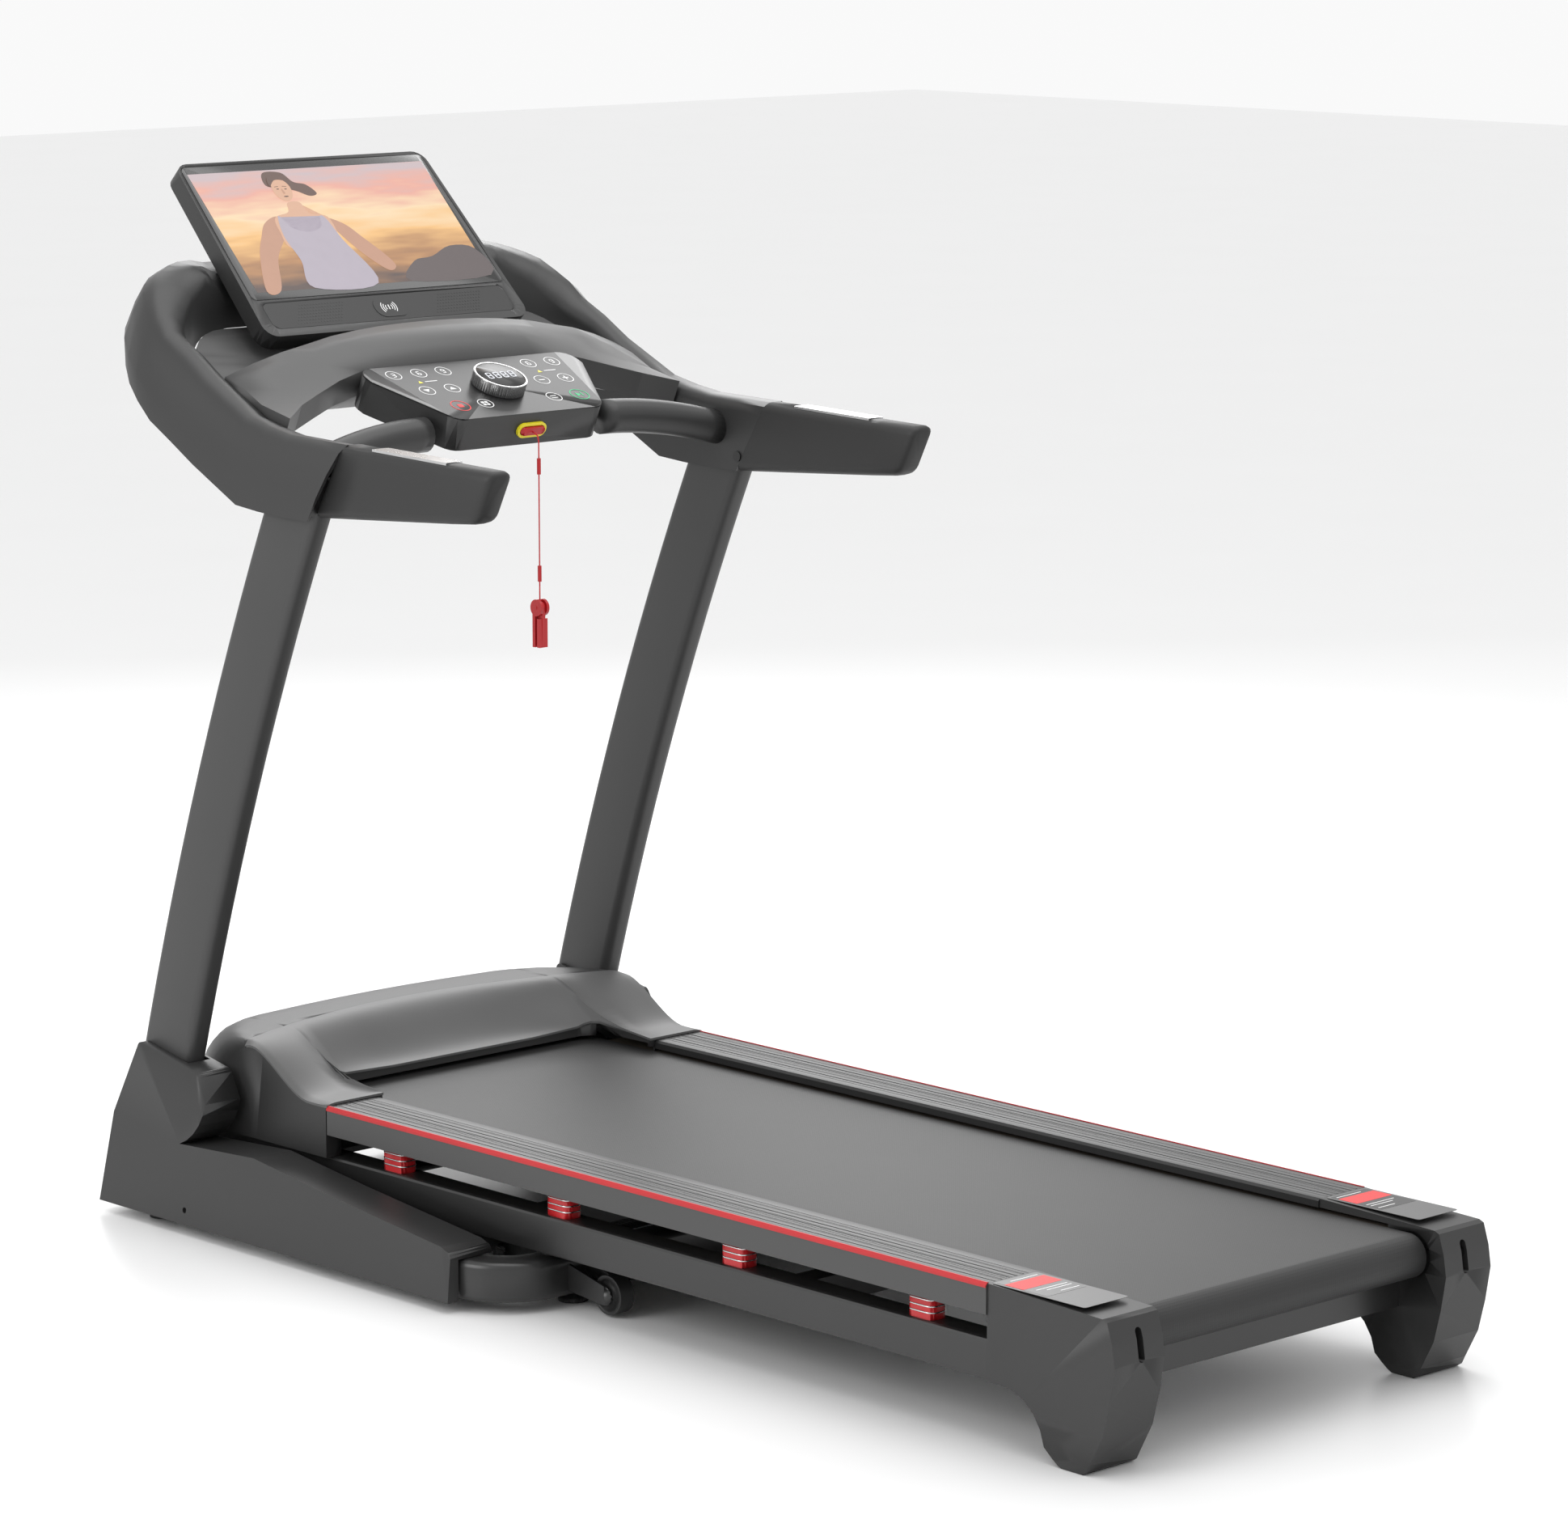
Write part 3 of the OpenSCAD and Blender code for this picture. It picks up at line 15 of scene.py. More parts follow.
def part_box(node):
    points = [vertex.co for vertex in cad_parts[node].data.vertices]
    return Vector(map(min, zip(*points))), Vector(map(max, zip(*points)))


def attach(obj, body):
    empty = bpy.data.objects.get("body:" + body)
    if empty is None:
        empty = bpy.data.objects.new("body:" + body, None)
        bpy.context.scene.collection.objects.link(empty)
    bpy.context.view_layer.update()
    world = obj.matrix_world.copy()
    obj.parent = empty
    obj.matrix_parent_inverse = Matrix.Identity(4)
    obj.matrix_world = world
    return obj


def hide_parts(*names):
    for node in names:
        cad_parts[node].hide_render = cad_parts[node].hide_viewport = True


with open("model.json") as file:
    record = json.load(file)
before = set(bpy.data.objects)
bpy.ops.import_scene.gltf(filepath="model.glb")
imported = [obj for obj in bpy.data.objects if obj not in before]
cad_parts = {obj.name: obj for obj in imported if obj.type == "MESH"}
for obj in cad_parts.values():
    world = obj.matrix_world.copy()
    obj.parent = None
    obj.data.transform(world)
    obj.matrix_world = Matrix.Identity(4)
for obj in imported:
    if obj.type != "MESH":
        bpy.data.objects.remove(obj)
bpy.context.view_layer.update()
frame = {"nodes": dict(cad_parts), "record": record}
nodes = frame["nodes"]

# %% [markdown]
# ## Camera
# A long lens from the rear left shows the belt, the near rail and the console
# in one view, with little perspective.

# %% Camera
eye = bpy.data.cameras.new("eye")
eye.lens, eye.sensor_width = 129.465, 36
eye.clip_end = 60
camera = bpy.data.objects.new("camera", eye)
camera.location = (-4.745306, -5.071604, 1.866569)
camera.rotation_euler = (math.radians(90 - 9.914639), 0, math.radians(-43.30614))
bpy.context.scene.collection.objects.link(camera)
bpy.context.scene.camera = camera
print("lens", round(eye.lens, 1), "mm")

# %% [markdown]
# ## Shader maths as plain expressions
# A finish is a formula over the surface. One small class wraps a socket, so
# that `1 - mask * 0.4` adds the Math nodes by itself. `Paint.node` makes any
# other node from its type, its settings and the values of its sockets.

# %% The socket class and the material maker
class Sock:
    def __init__(self, paint, out):
        self.paint, self.out = paint, out

    def math(self, op, *args):
        return self.paint.node("ShaderNodeMath", {"operation": op}, *args)

    def __add__(self, o): return self.math("ADD", self, o)
    def __radd__(self, o): return self.math("ADD", o, self)
    def __sub__(self, o): return self.math("SUBTRACT", self, o)
    def __rsub__(self, o): return self.math("SUBTRACT", o, self)
    def __mul__(self, o): return self.math("MULTIPLY", self, o)
    def __rmul__(self, o): return self.math("MULTIPLY", o, self)
    def __lt__(self, o): return self.math("LESS_THAN", self, o)


class Paint:
    def __init__(self, name):
        self.mat = bpy.data.materials.new(name)
        self.mat.use_nodes = True
        self.tree = self.mat.node_tree
        self.bsdf = self.tree.nodes["Principled BSDF"]

    def fill(self, socket, value):
        if isinstance(value, Sock):
            self.tree.links.new(value.out, socket)
        else:
            socket.default_value = value

    def node(self, kind, settings, *values, out=0, **named):
        n = self.tree.nodes.new(kind)
        for k, v in settings.items():
            if k != "stops":
                setattr(n, k, v)
        for i, (at, colour) in enumerate(settings.get("stops", [])):
            stops = n.color_ramp.elements
            stop = stops[i] if i < 2 else stops.new(at)
            stop.position, stop.color = at, (*colour, 1)
        for key, v in [*enumerate(values), *named.items()]:
            self.fill(self.pick(n.inputs, key), v)
        return Sock(self, self.pick(n.outputs, out))

    def pick(self, sockets, key):
        # a Mix node has several sockets of one name, so an identifier is tried first
        return next((s for s in sockets if s.identifier == key), None) or sockets[key]

    def place(self):
        return self.node("ShaderNodeTexCoord", {}, out="Object")

    def axis(self, i):
        return self.node("ShaderNodeSeparateXYZ", {}, self.place(), out=i)

    def noise(self, scale, detail=3.0):
        return self.node("ShaderNodeTexNoise", {}, Vector=self.place(), Scale=scale, Detail=detail)

    def blend(self, share, a, b):
        return self.node("ShaderNodeMix", {"data_type": "RGBA"}, Factor_Float=share, A_Color=a, B_Color=b,
                         out="Result_Color")

    def bump(self, height, strength, distance):
        return self.node("ShaderNodeBump", {}, Height=height, Strength=strength, Distance=distance)

    def done(self, **sockets):
        for key, v in sockets.items():
            self.fill(self.bsdf.inputs[key.replace("_", " ")], v)
        return self.mat


def rgb(r, g=None, b=None):
    return (r, r if g is None else g, r if b is None else b, 1)


print("shader helpers ready")

# %% [markdown]
# ## Moulded plastic, paint and metal
# Moulded plastic has a fine spark-eroded grain: a small noise bump and a
# slightly uneven roughness. Powder paint is the same idea with a softer,
# larger orange-peel. Bare metal turns the metallic share up. One function
# makes the whole family, because only a few numbers differ between them.

# %% Finishes
def grained(name, colour, rough=0.42, grain=1800, depth=0.00005, coat=0.0, metal=0.0, drift=0.1):
    p = Paint(name)
    fine, broad = p.noise(grain), p.noise(7.0)
    tone = p.blend(broad, rgb(*[c * (1 - drift) for c in colour]), rgb(*[c * (1 + drift) for c in colour]))
    return p.done(Base_Color=tone, Roughness=fine * 0.1 + (rough - 0.05), Metallic=metal,
                  Coat_Weight=coat, Coat_Roughness=0.25, Normal=p.bump(fine, 0.25, depth))


def even(*c):
    return c * 3 if len(c) == 1 else c


plastic = grained("black_moulded_plastic", even(0.021), 0.44)
soft_plastic = grained("soft_black_plastic", even(0.014), 0.5)
upright_paint = grained("charcoal_powder_paint", even(0.036), 0.46, grain=900)
frame_paint = grained("black_frame_paint", even(0.014), 0.34, grain=700, coat=0.15)
grey_plastic = grained("grey_moulded_plastic", even(0.085), 0.47)
dash_grey = grained("dash_grey_plastic", even(0.062), 0.48)
grip_rubber = grained("grip_foam_rubber", even(0.012), 0.55, grain=2400, depth=0.0001)
gloss_black = grained("gloss_black_panel", even(0.006), 0.3, grain=3000, depth=0.00001)
red_rubber = grained("red_cushion_rubber", even(0.45, 0.012, 0.016), 0.38)
red_plastic = grained("red_plastic", even(0.42, 0.008, 0.012), 0.35)
red_trim = grained("red_rail_stripe", even(0.42, 0.01, 0.014), 0.4)
yellow = grained("yellow_bezel", even(0.78, 0.68, 0.02), 0.38)
steel = grained("bright_steel", even(0.62), 0.24, metal=1.0)
dark_steel = grained("dark_steel", even(0.2), 0.4, metal=1.0)
motor_grey = grained("motor_grey_metal", even(0.12), 0.45, metal=0.6)
board_wood = grained("board_edge", even(0.05, 0.04, 0.03), 0.6)
pcb_green = grained("board_green", even(0.01, 0.09, 0.03), 0.45)
white_ink = grained("white_ink", even(0.72), 0.5, grain=400)
red_ink = grained("red_ink", even(0.62, 0.02, 0.02), 0.5, grain=400)
green_ink = grained("green_ink", even(0.02, 0.42, 0.16), 0.5, grain=400)
print(len(bpy.data.materials), "finishes")

# %% [markdown]
# ## The running belt
# The belt is PVC on a woven ply. The top has a tight diamond emboss, which two
# crossed wave textures give at about 1.6 mm, with a trace of noise to break up
# the sheen.

# %% Belt
p = Paint("belt_pvc")
emboss = 190.0
spread = p.node("ShaderNodeMapping", {}, p.place(), Rotation=(0, 0, math.radians(45)))
one, two = [p.node("ShaderNodeTexWave", {"bands_direction": way}, Vector=spread, Scale=emboss, out="Fac")
            for way in ("X", "Y")]
weave, dust = one * two, p.noise(9.0)
belt_pvc = p.done(Base_Color=p.blend(dust, rgb(0.0125), rgb(0.0175)), Roughness=weave * 0.1 + 0.5,
                  Normal=p.bump(weave, 0.35, 0.0002))
print("belt emboss at scale", emboss)

# %% [markdown]
# ## The foot rails
# Each rail is grey plastic with a black step beside the belt. The colour
# follows the distance from the middle plane, so one material does both.

# %% Rail plastic
p = Paint("rail_plastic")
across = p.node("ShaderNodeMath", {"operation": "ABSOLUTE"}, p.axis(0))
step_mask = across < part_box("running_belt")[1].x + 0.012
fine = p.noise(1600)
rail_plastic = p.done(Base_Color=p.blend(step_mask, rgb(0.05), rgb(0.01)), Roughness=fine * 0.1 + 0.38,
                      Normal=p.bump(fine, 0.25, 0.00005))

# %% [markdown]
# ## Chrome, glass and lit parts
# The knob is satin chrome and the screen is dark glass with a clear coat. Lit
# parts are a nearly black surface that gives off its own colour, so they stay
# readable in bright light.

# %% Chrome, glass and lit parts
chrome = grained("satin_chrome", even(0.72), 0.16, grain=500, depth=0.00001, metal=1.0)
dark_glass = grained("dark_glass", even(0.004), 0.12, grain=300, depth=0.000002, coat=0.6)


def lamp(name, colour, power):
    p = Paint(name)
    glow = p.blend(p.noise(60), rgb(*colour), rgb(*[c * 0.92 for c in colour]))
    return p.done(Base_Color=rgb(0.02), Emission_Color=glow, Emission_Strength=power, Roughness=0.4)


digit_white = lamp("digit_white", (0.9, 0.93, 1.0), 0.9)
print("chrome, glass and lit finishes ready")

# %% [markdown]
# ## Smooth copies of the moulded covers
# A CAD node arrives as loose triangles. A moulded cover reads as plastic only
# when its flowing faces are shaded smooth and its real edges stay crisp. A
# copy is merged, its edges over 32 degrees are marked sharp, and it stands for
# the node. The node itself isn't touched.

# %% Smooth copies
body_of = {n: b for b, ns in frame["record"]["behaviour"]["bodies"].items() for n in ns}


def link(name, mesh, material, body):
    obj = bpy.data.objects.new(name, mesh)
    bpy.context.scene.collection.objects.link(obj)
    mesh.materials.clear()
    mesh.materials.append(material)
    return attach(obj, body)


def merged(node):
    bm = bmesh.new()
    bm.from_mesh(nodes[node].data)
    bmesh.ops.remove_doubles(bm, verts=bm.verts, dist=1e-5)
    return bm


def smooth_copy(node, material, angle=32):
    bm = merged(node)
    mesh = bpy.data.meshes.new(node + "_smooth")
    bm.to_mesh(mesh)
    bm.free()
    mesh.shade_smooth()
    mesh.set_sharp_from_angle(angle=math.radians(angle))
    obj = link(node + "_skin", mesh, material, body_of[node])
    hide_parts(node)
    return obj


covers = {
    plastic: ["left_base_cover", "right_base_cover", "motor_hood", "console_ring", "left_end_cap", "right_end_cap",
              "keypad_housing", "screen_housing", "handlebars"],
    grey_plastic: ["hood_saddle"], dash_grey: ["console_dash"], grip_rubber: ["left_grip", "right_grip"],
    red_plastic: ["safety_key", "power_switch"], belt_pvc: ["running_belt"],
    upright_paint: ["left_upright", "right_upright"], dark_glass: ["screen_glass"], chrome: ["speed_knob"],
    rail_plastic: ["left_side_rail", "right_side_rail"], red_rubber: ["deck_cushions"],
    soft_plastic: ["base_feet", "left_transport_wheel", "right_transport_wheel", "speaker_grille"],
    red_trim: ["rail_stripes"], yellow: ["key_socket"], steel: ["pulse_plates", "strut_rod"],
    gloss_black: ["keypad_panel", "knob_display"], frame_paint: ["base_side_tubes", "base_front_tube",
    "base_rear_tube", "wheel_brackets", "lift_arms", "fold_bracket", "strut_cylinder", "deck_side_tubes",
    "deck_cross_members", "axle_blocks", "screen_bracket"],
    dark_steel: ["front_roller", "rear_roller", "incline_screw", "motor_pulley"],
    motor_grey: ["incline_motor", "drive_motor"], board_wood: ["deck_board"],
    pcb_green: ["control_board", "keypad_board"],
}
for material, names in covers.items():
    for node in names:
        smooth_copy(node, material)
for node in ("drive_belt", "speakers", "power_inlet"):
    nodes[node].data.materials.clear()
    nodes[node].data.materials.append(soft_plastic)
for node in ("cord_sleeves", "safety_clip", "clip_jaw"):
    nodes[node].data.materials.clear()
    nodes[node].data.materials.append(red_plastic)
print(sum(len(v) for v in covers.values()), "smooth copies")

# %% [markdown]
# ## The safety cord
# A thin woven cord hangs from the red key to the clothes clip. It is limp, so
# it drops straight out of the key and hangs plumb. A curve with a round bevel
# is its centreline, and a twisted bump gives the braid.

# %% Safety cord
p = Paint("red_braid")
twist = p.node("ShaderNodeTexWave", {"bands_direction": "DIAGONAL"}, Vector=p.place(), Scale=420.0, out="Fac")
braid = p.done(Base_Color=p.blend(twist, rgb(0.4, 0.006, 0.01), rgb(0.55, 0.02, 0.024)),
               Roughness=twist * 0.1 + 0.6, Normal=p.bump(twist, 0.5, 0.0002))
route = [(4, 442, 1040), (4, 437, 1039), (4, 432, 1036), (4, 430, 1029), (4, 430, 1015), (4, 430, 995),
         (4, 430, 970), (4, 430, 945), (4, 430, 920), (4, 430, 895), (4, 430, 870), (4, 430, 845), (4, 430, 821.5)]
route = [tuple(c / 1000 for c in q) for q in route]
line = bpy.data.curves.new("safety_lanyard", "CURVE")
line.dimensions, line.bevel_depth, line.bevel_resolution, line.use_fill_caps = "3D", 0.0009, 4, True
spline = line.splines.new("POLY")
spline.points.add(len(route) - 1)
for point, q in zip(spline.points, route):
    point.co = (*q, 1)
line.materials.append(braid)
lanyard = bpy.data.objects.new("safety_lanyard", line)
bpy.context.scene.collection.objects.link(lanyard)
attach(lanyard, "key")
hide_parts("safety_cord")
lanyard_length = sum((Vector(b) - Vector(a)).length for a, b in zip(route, route[1:]))
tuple(route[0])
print("lanyard", round(lanyard_length, 4), "m")

# %% [markdown]
# ## Printed marks and thin plates
# Icons, digits and stickers are thin closed slabs that lie on a face of the
# CAD. `face_of` works out that face's plane from the node, so a mark is placed
# in plain millimetres from the middle of its lower edge.

# %% Slab helpers
def face_of(node, tilt):
    t = math.radians(tilt)
    up, out = Vector((0, math.cos(t), math.sin(t))), Vector((0, -math.sin(t), math.cos(t)))
    co = [v.co for v in nodes[node].data.vertices]
    start = up * min(c.dot(up) for c in co) + out * max(c.dot(out) for c in co)
    return Matrix(((1, 0, 0, 0), (0, up.y, out.y, start.y), (0, up.z, out.z, start.z), (0, 0, 0, 1)))


def slab(name, shapes, plane, material, body, lift=0.0, thick=0.25):
    bm = bmesh.new()
    for shape in shapes:
        turn = sum(a[0] * b[1] - b[0] * a[1] for a, b in zip(shape, shape[1:] + shape[:1]))
        shape = shape if turn > 0 else shape[::-1]
        low = [bm.verts.new((x / 1000, y / 1000, lift / 1000)) for x, y in shape]
        top = [bm.verts.new((x / 1000, y / 1000, (lift + thick) / 1000)) for x, y in shape]
        bm.faces.new(top)
        bm.faces.new(low[::-1])
        for i in range(len(low)):
            j = (i + 1) % len(low)
            bm.faces.new((low[i], low[j], top[j], top[i]))
    bmesh.ops.triangulate(bm, faces=[f for f in bm.faces if len(f.verts) > 4])
    mesh = bpy.data.meshes.new(name)
    bm.to_mesh(mesh)
    bm.free()
    mesh.transform(plane)
    return link(name, mesh, material, body)


def arc(x, y, r, a0, a1, n):
    steps = [math.radians(a0 + (a1 - a0) * i / n) for i in range(n + 1)]
    return [(x + r * math.cos(a), y + r * math.sin(a)) for a in steps]


def band(x, y, r, w, a0, a1, n=16):
    return arc(x, y, r, a0, a1, n) + arc(x, y, r - w, a1, a0, n)


def ring(x, y, r, w):
    return [band(x, y, r, w, 0, 180), band(x, y, r, w, 180, 360)]


def bar(x0, y0, x1, y1, w):
    d = math.hypot(x1 - x0, y1 - y0)
    nx, ny = -(y1 - y0) / d * w / 2, (x1 - x0) / d * w / 2
    return [(x0 + nx, y0 + ny), (x0 - nx, y0 - ny), (x1 - nx, y1 - ny), (x1 + nx, y1 + ny)]


def digit(n, x, y, w, h, t, lean=0.1):
    spots = [(0, 1, 1, 1), (1, 1, 1, .5), (1, .5, 1, 0), (0, 0, 1, 0), (0, .5, 0, 0), (0, 1, 0, .5), (0, .5, 1, .5)]
    on = {3: "012 3 6", 6: "0 2 3 4 5 6", 8: "0123456", 9: "012356"}[n]
    made = []
    for i, (a, b, c, d) in enumerate(spots):
        if str(i) in on:
            e = 0.06
            p0 = (x + w * (a - .5) + lean * h * (b - .5), y + h * (b - .5))
            p1 = (x + w * (c - .5) + lean * h * (d - .5), y + h * (d - .5))
            p0, p1 = [tuple(u + (v - u) * k for u, v in zip(p0, p1)) for k in (e, 1 - e)]
            made.append(bar(*p0, *p1, t))
    return made


def rounded(x0, y0, x1, y1, r, n=6):
    return (arc(x1 - r, y1 - r, r, 0, 90, n) + arc(x0 + r, y1 - r, r, 90, 180, n)
            + arc(x0 + r, y0 + r, r, 180, 270, n) + arc(x1 - r, y0 + r, r, 270, 360, n))


print("slab helpers ready")

# %% [markdown]
# ## Keypad icons
# The keys are touch areas under one gloss plate, so each one is only a printed
# ring with a sign in it: speed and incline steps, up and down, plus and minus,
# a red stop and a green start.

# %% Keypad icons
keypad = face_of("keypad_panel", 22.6)
keys = [(-135, 127), (-93, 127), (-52, 127), (-114, 81), (-72, 81), (-52, 35),
        (94, 127), (135, 127), (81, 81), (122, 81), (65, 35)]
ink = [s for x, y in keys for s in ring(x, y, 11.5, 1.1)]
for (x, y), n in zip([keys[0], keys[1], keys[2], keys[6], keys[7]], (3, 6, 9, 6, 9)):
    ink += digit(n, x, y, 5, 9, 1.3)
ink += [[(-119, 84), (-109, 84), (-114, 77)], [(-77, 78), (-67, 78), (-72, 85)]]
ink += [bar(76, 81, 86, 81, 1.8), bar(117, 81, 127, 81, 1.8), bar(122, 82, 122, 86, 1.8), bar(122, 76, 122, 80, 1.8)]
ink += [rounded(x - 2.2, y - 2.2, x + 2.2, y + 2.2, 0.5) for x in (-55, -49) for y in (32, 38)]
ink += [bar(60, 37.5, 70, 37.5, 1.4), bar(60, 32.5, 70, 32.5, 1.4)]
ink += [bar(x, 104, x + 20, 104, 1.6) for x in (-100, 103)]
slab("keypad_marks", ink, keypad, white_ink, "base")
slab("keypad_stop_mark", ring(-94, 35, 14, 1.3) + [rounded(-98, 31, -90, 39, 0.8)], keypad, red_ink, "base")
slab("keypad_start_mark", ring(109, 35, 14, 1.3) + [[(104, 30), (104, 40), (111, 35)], bar(113, 30, 113, 40, 1.6)],
     keypad, green_ink, "base")
slab("keypad_hint_marks", [[(x, 101), (x + 7, 101), (x + 3.5, 107)] for x in (-112, 91)], keypad, yellow, "base")
print(len(keys) + 2, "keys")

# %% [markdown]
# ## The knob's display
# Four seven-segment digits glow in the top of the knob, inside a chrome rim.
# They turn with the knob, because they ride on its body.

# %% Knob display
dial = face_of("knob_display", 22.6)
digit_pitch = 12.5
digits = [s for i in range(4) for s in digit(8, (i - 1.5) * digit_pitch, 34, 7, 14, 1.5)]
slab("knob_digits", digits, dial, digit_white, "knob")
slab("knob_rim", ring(0, 34, 35.6, 1.8), dial, chrome, "knob", lift=-0.6, thick=0.8)

# %% [markdown]
# ## Geometry Nodes for what repeats
# Rail ribs, speaker holes, cushion rings and screws are each one shape set
# many times. `Tree` builds a group with named inputs, and `grow` sets them by
# their identifiers, bakes the result to a plain mesh and drops the modifier.

# %% Geometry Nodes helpers
class Tree:
    def __init__(self, name, **inputs):
        self.group = bpy.data.node_groups.new(name, "GeometryNodeTree")
        self.group.interface.new_socket("Geometry", in_out="OUTPUT", socket_type="NodeSocketGeometry")
        self.group.interface.new_socket("Geometry", in_out="INPUT", socket_type="NodeSocketGeometry")
        kinds = {float: "NodeSocketFloat", int: "NodeSocketInt", tuple: "NodeSocketVector"}
        for k, v in inputs.items():
            self.group.interface.new_socket(k, in_out="INPUT", socket_type=kinds[type(v)]).default_value = v
        self.start = self.group.nodes.new("NodeGroupInput")

    def __getitem__(self, name):
        return self.start.outputs[name]

    def add(self, kind, settings=None, out=0, **values):
        n = self.group.nodes.new(kind)
        for k, v in (settings or {}).items():
            setattr(n, k, v)
        for k, v in values.items():
            socket = n.inputs[k.replace("_", " ")]
            if isinstance(v, bpy.types.NodeSocket):
                self.group.links.new(v, socket)
            else:
                socket.default_value = v
        return n.outputs[out]

    def finish(self, geometry, material):
        real = self.add("GeometryNodeRealizeInstances", Geometry=geometry)
        made = self.add("GeometryNodeSetMaterial", Geometry=real, Material=material)
        end = self.group.nodes.new("NodeGroupOutput")
        self.group.links.new(made, end.inputs[0])
        return self


def grow(name, tree, material, body, points=((0, 0, 0),), place=None, **values):
    seed = bpy.data.meshes.new(name + "_seed")
    seed.from_pydata([tuple(q) for q in points], [], [])
    carrier = bpy.data.objects.new(name + "_seed", seed)
    bpy.context.scene.collection.objects.link(carrier)
    grower = carrier.modifiers.new("grow", "NODES")
    grower.node_group = tree.group
    for item in tree.group.interface.items_tree:
        if item.in_out == "INPUT" and item.name in values:
            grower[item.identifier] = values[item.name]
    graph = bpy.context.evaluated_depsgraph_get()
    mesh = bpy.data.meshes.new_from_object(carrier.evaluated_get(graph), depsgraph=graph)
    bpy.data.objects.remove(carrier)
    mesh.name = name
    if place is not None:
        mesh.transform(place)
    print(name, len(mesh.polygons), "faces")
    return link(name, mesh, material, body)


print("tree helpers ready")

# %% [markdown]
# ## Ribs on the foot rails
# Fine raised lines run the whole length of each rail, so that a shoe grips.
# One bar set along a line of points makes them.

# %% Rail ribs
rib_pitch, rib_width, rib_height = 0.0088, 0.001, 0.0008
ribs = Tree("rail_ribs", Count=7, Step=(rib_pitch, 0.0, 0.0), Start=(0.0, 0.0, 0.0),
            Size=(rib_width, 1.0, rib_height))
dots = ribs.add("GeometryNodeMeshLine", Count=ribs["Count"], Start_Location=ribs["Start"], Offset=ribs["Step"])
stick = ribs.add("GeometryNodeMeshCube", Size=ribs["Size"])
rib_grey = grained("rail_rib_edge", even(0.13), 0.4)
ribs.finish(ribs.add("GeometryNodeInstanceOnPoints", Points=dots, Instance=stick), rib_grey)
for side, node in (("left", "left_side_rail"), ("right", "right_side_rail")):
    low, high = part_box(node)
    inner = -1 if side == "left" else 1
    x0 = inner * (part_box("running_belt")[1].x + 0.02)
    grow(side + "_rail_ribs", ribs, rib_grey, "deck", Start=(x0, (low.y + high.y) / 2, high.z),
         Step=(inner * rib_pitch, 0.0, 0.0), Size=(rib_width, high.y - low.y - 0.002, rib_height))

# %% [markdown]
# ## Steel rings on the deck cushions
# Each red rubber cushion is squeezed by bright rings. The ring is a rounded
# rectangle swept by a small circle, stacked three times on every cushion.

# %% Cushion rings
rings = Tree("cushion_rings", Width=0.0264, Length=0.0424, Corner=0.01, Wire=0.0011, Step=(0.0, 0.0, 0.0075))
path = rings.add("GeometryNodeCurvePrimitiveQuadrilateral", Width=rings["Width"], Height=rings["Length"])
path = rings.add("GeometryNodeFilletCurve", {"mode": "POLY"}, Curve=path, Count=5, Radius=rings["Corner"])
wire = rings.add("GeometryNodeCurvePrimitiveCircle", Resolution=8, Radius=rings["Wire"])
hoop = rings.add("GeometryNodeCurveToMesh", Curve=path, Profile_Curve=wire)
stack = rings.add("GeometryNodeInstanceOnPoints", Instance=hoop,
                  Points=rings.add("GeometryNodeMeshLine", Count=3, Offset=rings["Step"]))
rings.finish(rings.add("GeometryNodeInstanceOnPoints", Points=rings["Geometry"], Instance=stack), steel)


def islands(node):
    bm = merged(node)
    left, found = set(bm.verts), []
    while left:
        heap, group = [left.pop()], []
        while heap:
            v = heap.pop()
            group.append(v.co.copy())
            for e in v.link_edges:
                w = e.other_vert(v)
                if w in left:
                    left.remove(w)
                    heap.append(w)
        co = np.array(group)
        found.append((co.min(0), co.max(0)))
    bm.free()
    return found


cushions = [(*(low + high)[:2] / 2, low[2] + 0.0085) for low, high in islands("deck_cushions")]
grow("cushion_ring_set", rings, steel, "deck", points=[tuple(float(c) for c in q) for q in cushions])
print(len(cushions), "cushions")

# %% [markdown]
# ## Speaker holes
# Two fields of small holes slant across the strip under the screen. A sheared
# grid of points carries one flat black disc, painted shade that stands in for the dark inside each hole.

# %% Speaker holes
holes = Tree("speaker_holes", Columns=16, Rows=7, Pitch=0.0045, Slant=0.6, Dot=0.0012, Place=(0.0, 0.0, 0.0))
spread_x = holes.group.nodes.new("ShaderNodeMath")
spread_x.operation = "MULTIPLY"
holes.group.links.new(holes["Columns"], spread_x.inputs[0])
holes.group.links.new(holes["Pitch"], spread_x.inputs[1])
grid = holes.add("GeometryNodeMeshGrid", Vertices_X=holes["Columns"], Vertices_Y=holes["Rows"],
                 Size_X=spread_x.outputs[0], Size_Y=0.03)
spot = holes.group.nodes.new("GeometryNodeInputPosition").outputs[0]
split = holes.group.nodes.new("ShaderNodeSeparateXYZ")
holes.group.links.new(spot, split.inputs[0])
lean = holes.group.nodes.new("ShaderNodeMath")
lean.operation = "MULTIPLY"
holes.group.links.new(split.outputs["Y"], lean.inputs[0])
holes.group.links.new(holes["Slant"], lean.inputs[1])
shift = holes.add("ShaderNodeCombineXYZ", X=lean.outputs[0])
grid = holes.add("GeometryNodeSetPosition", Geometry=grid, Offset=shift)
# the disc is painted shade: a flat black spot on the surface in place of the shaded inside of a hole
hole_shade_disc = holes.add("GeometryNodeMeshCylinder", Vertices=8, Radius=holes["Dot"], Depth=0.0002)
field = holes.add("GeometryNodeInstanceOnPoints", Points=grid, Instance=hole_shade_disc)
field = holes.add("GeometryNodeTransform", Geometry=field, Translation=holes["Place"])
holes.finish(field, gloss_black)
strip = face_of("speaker_grille", 45)
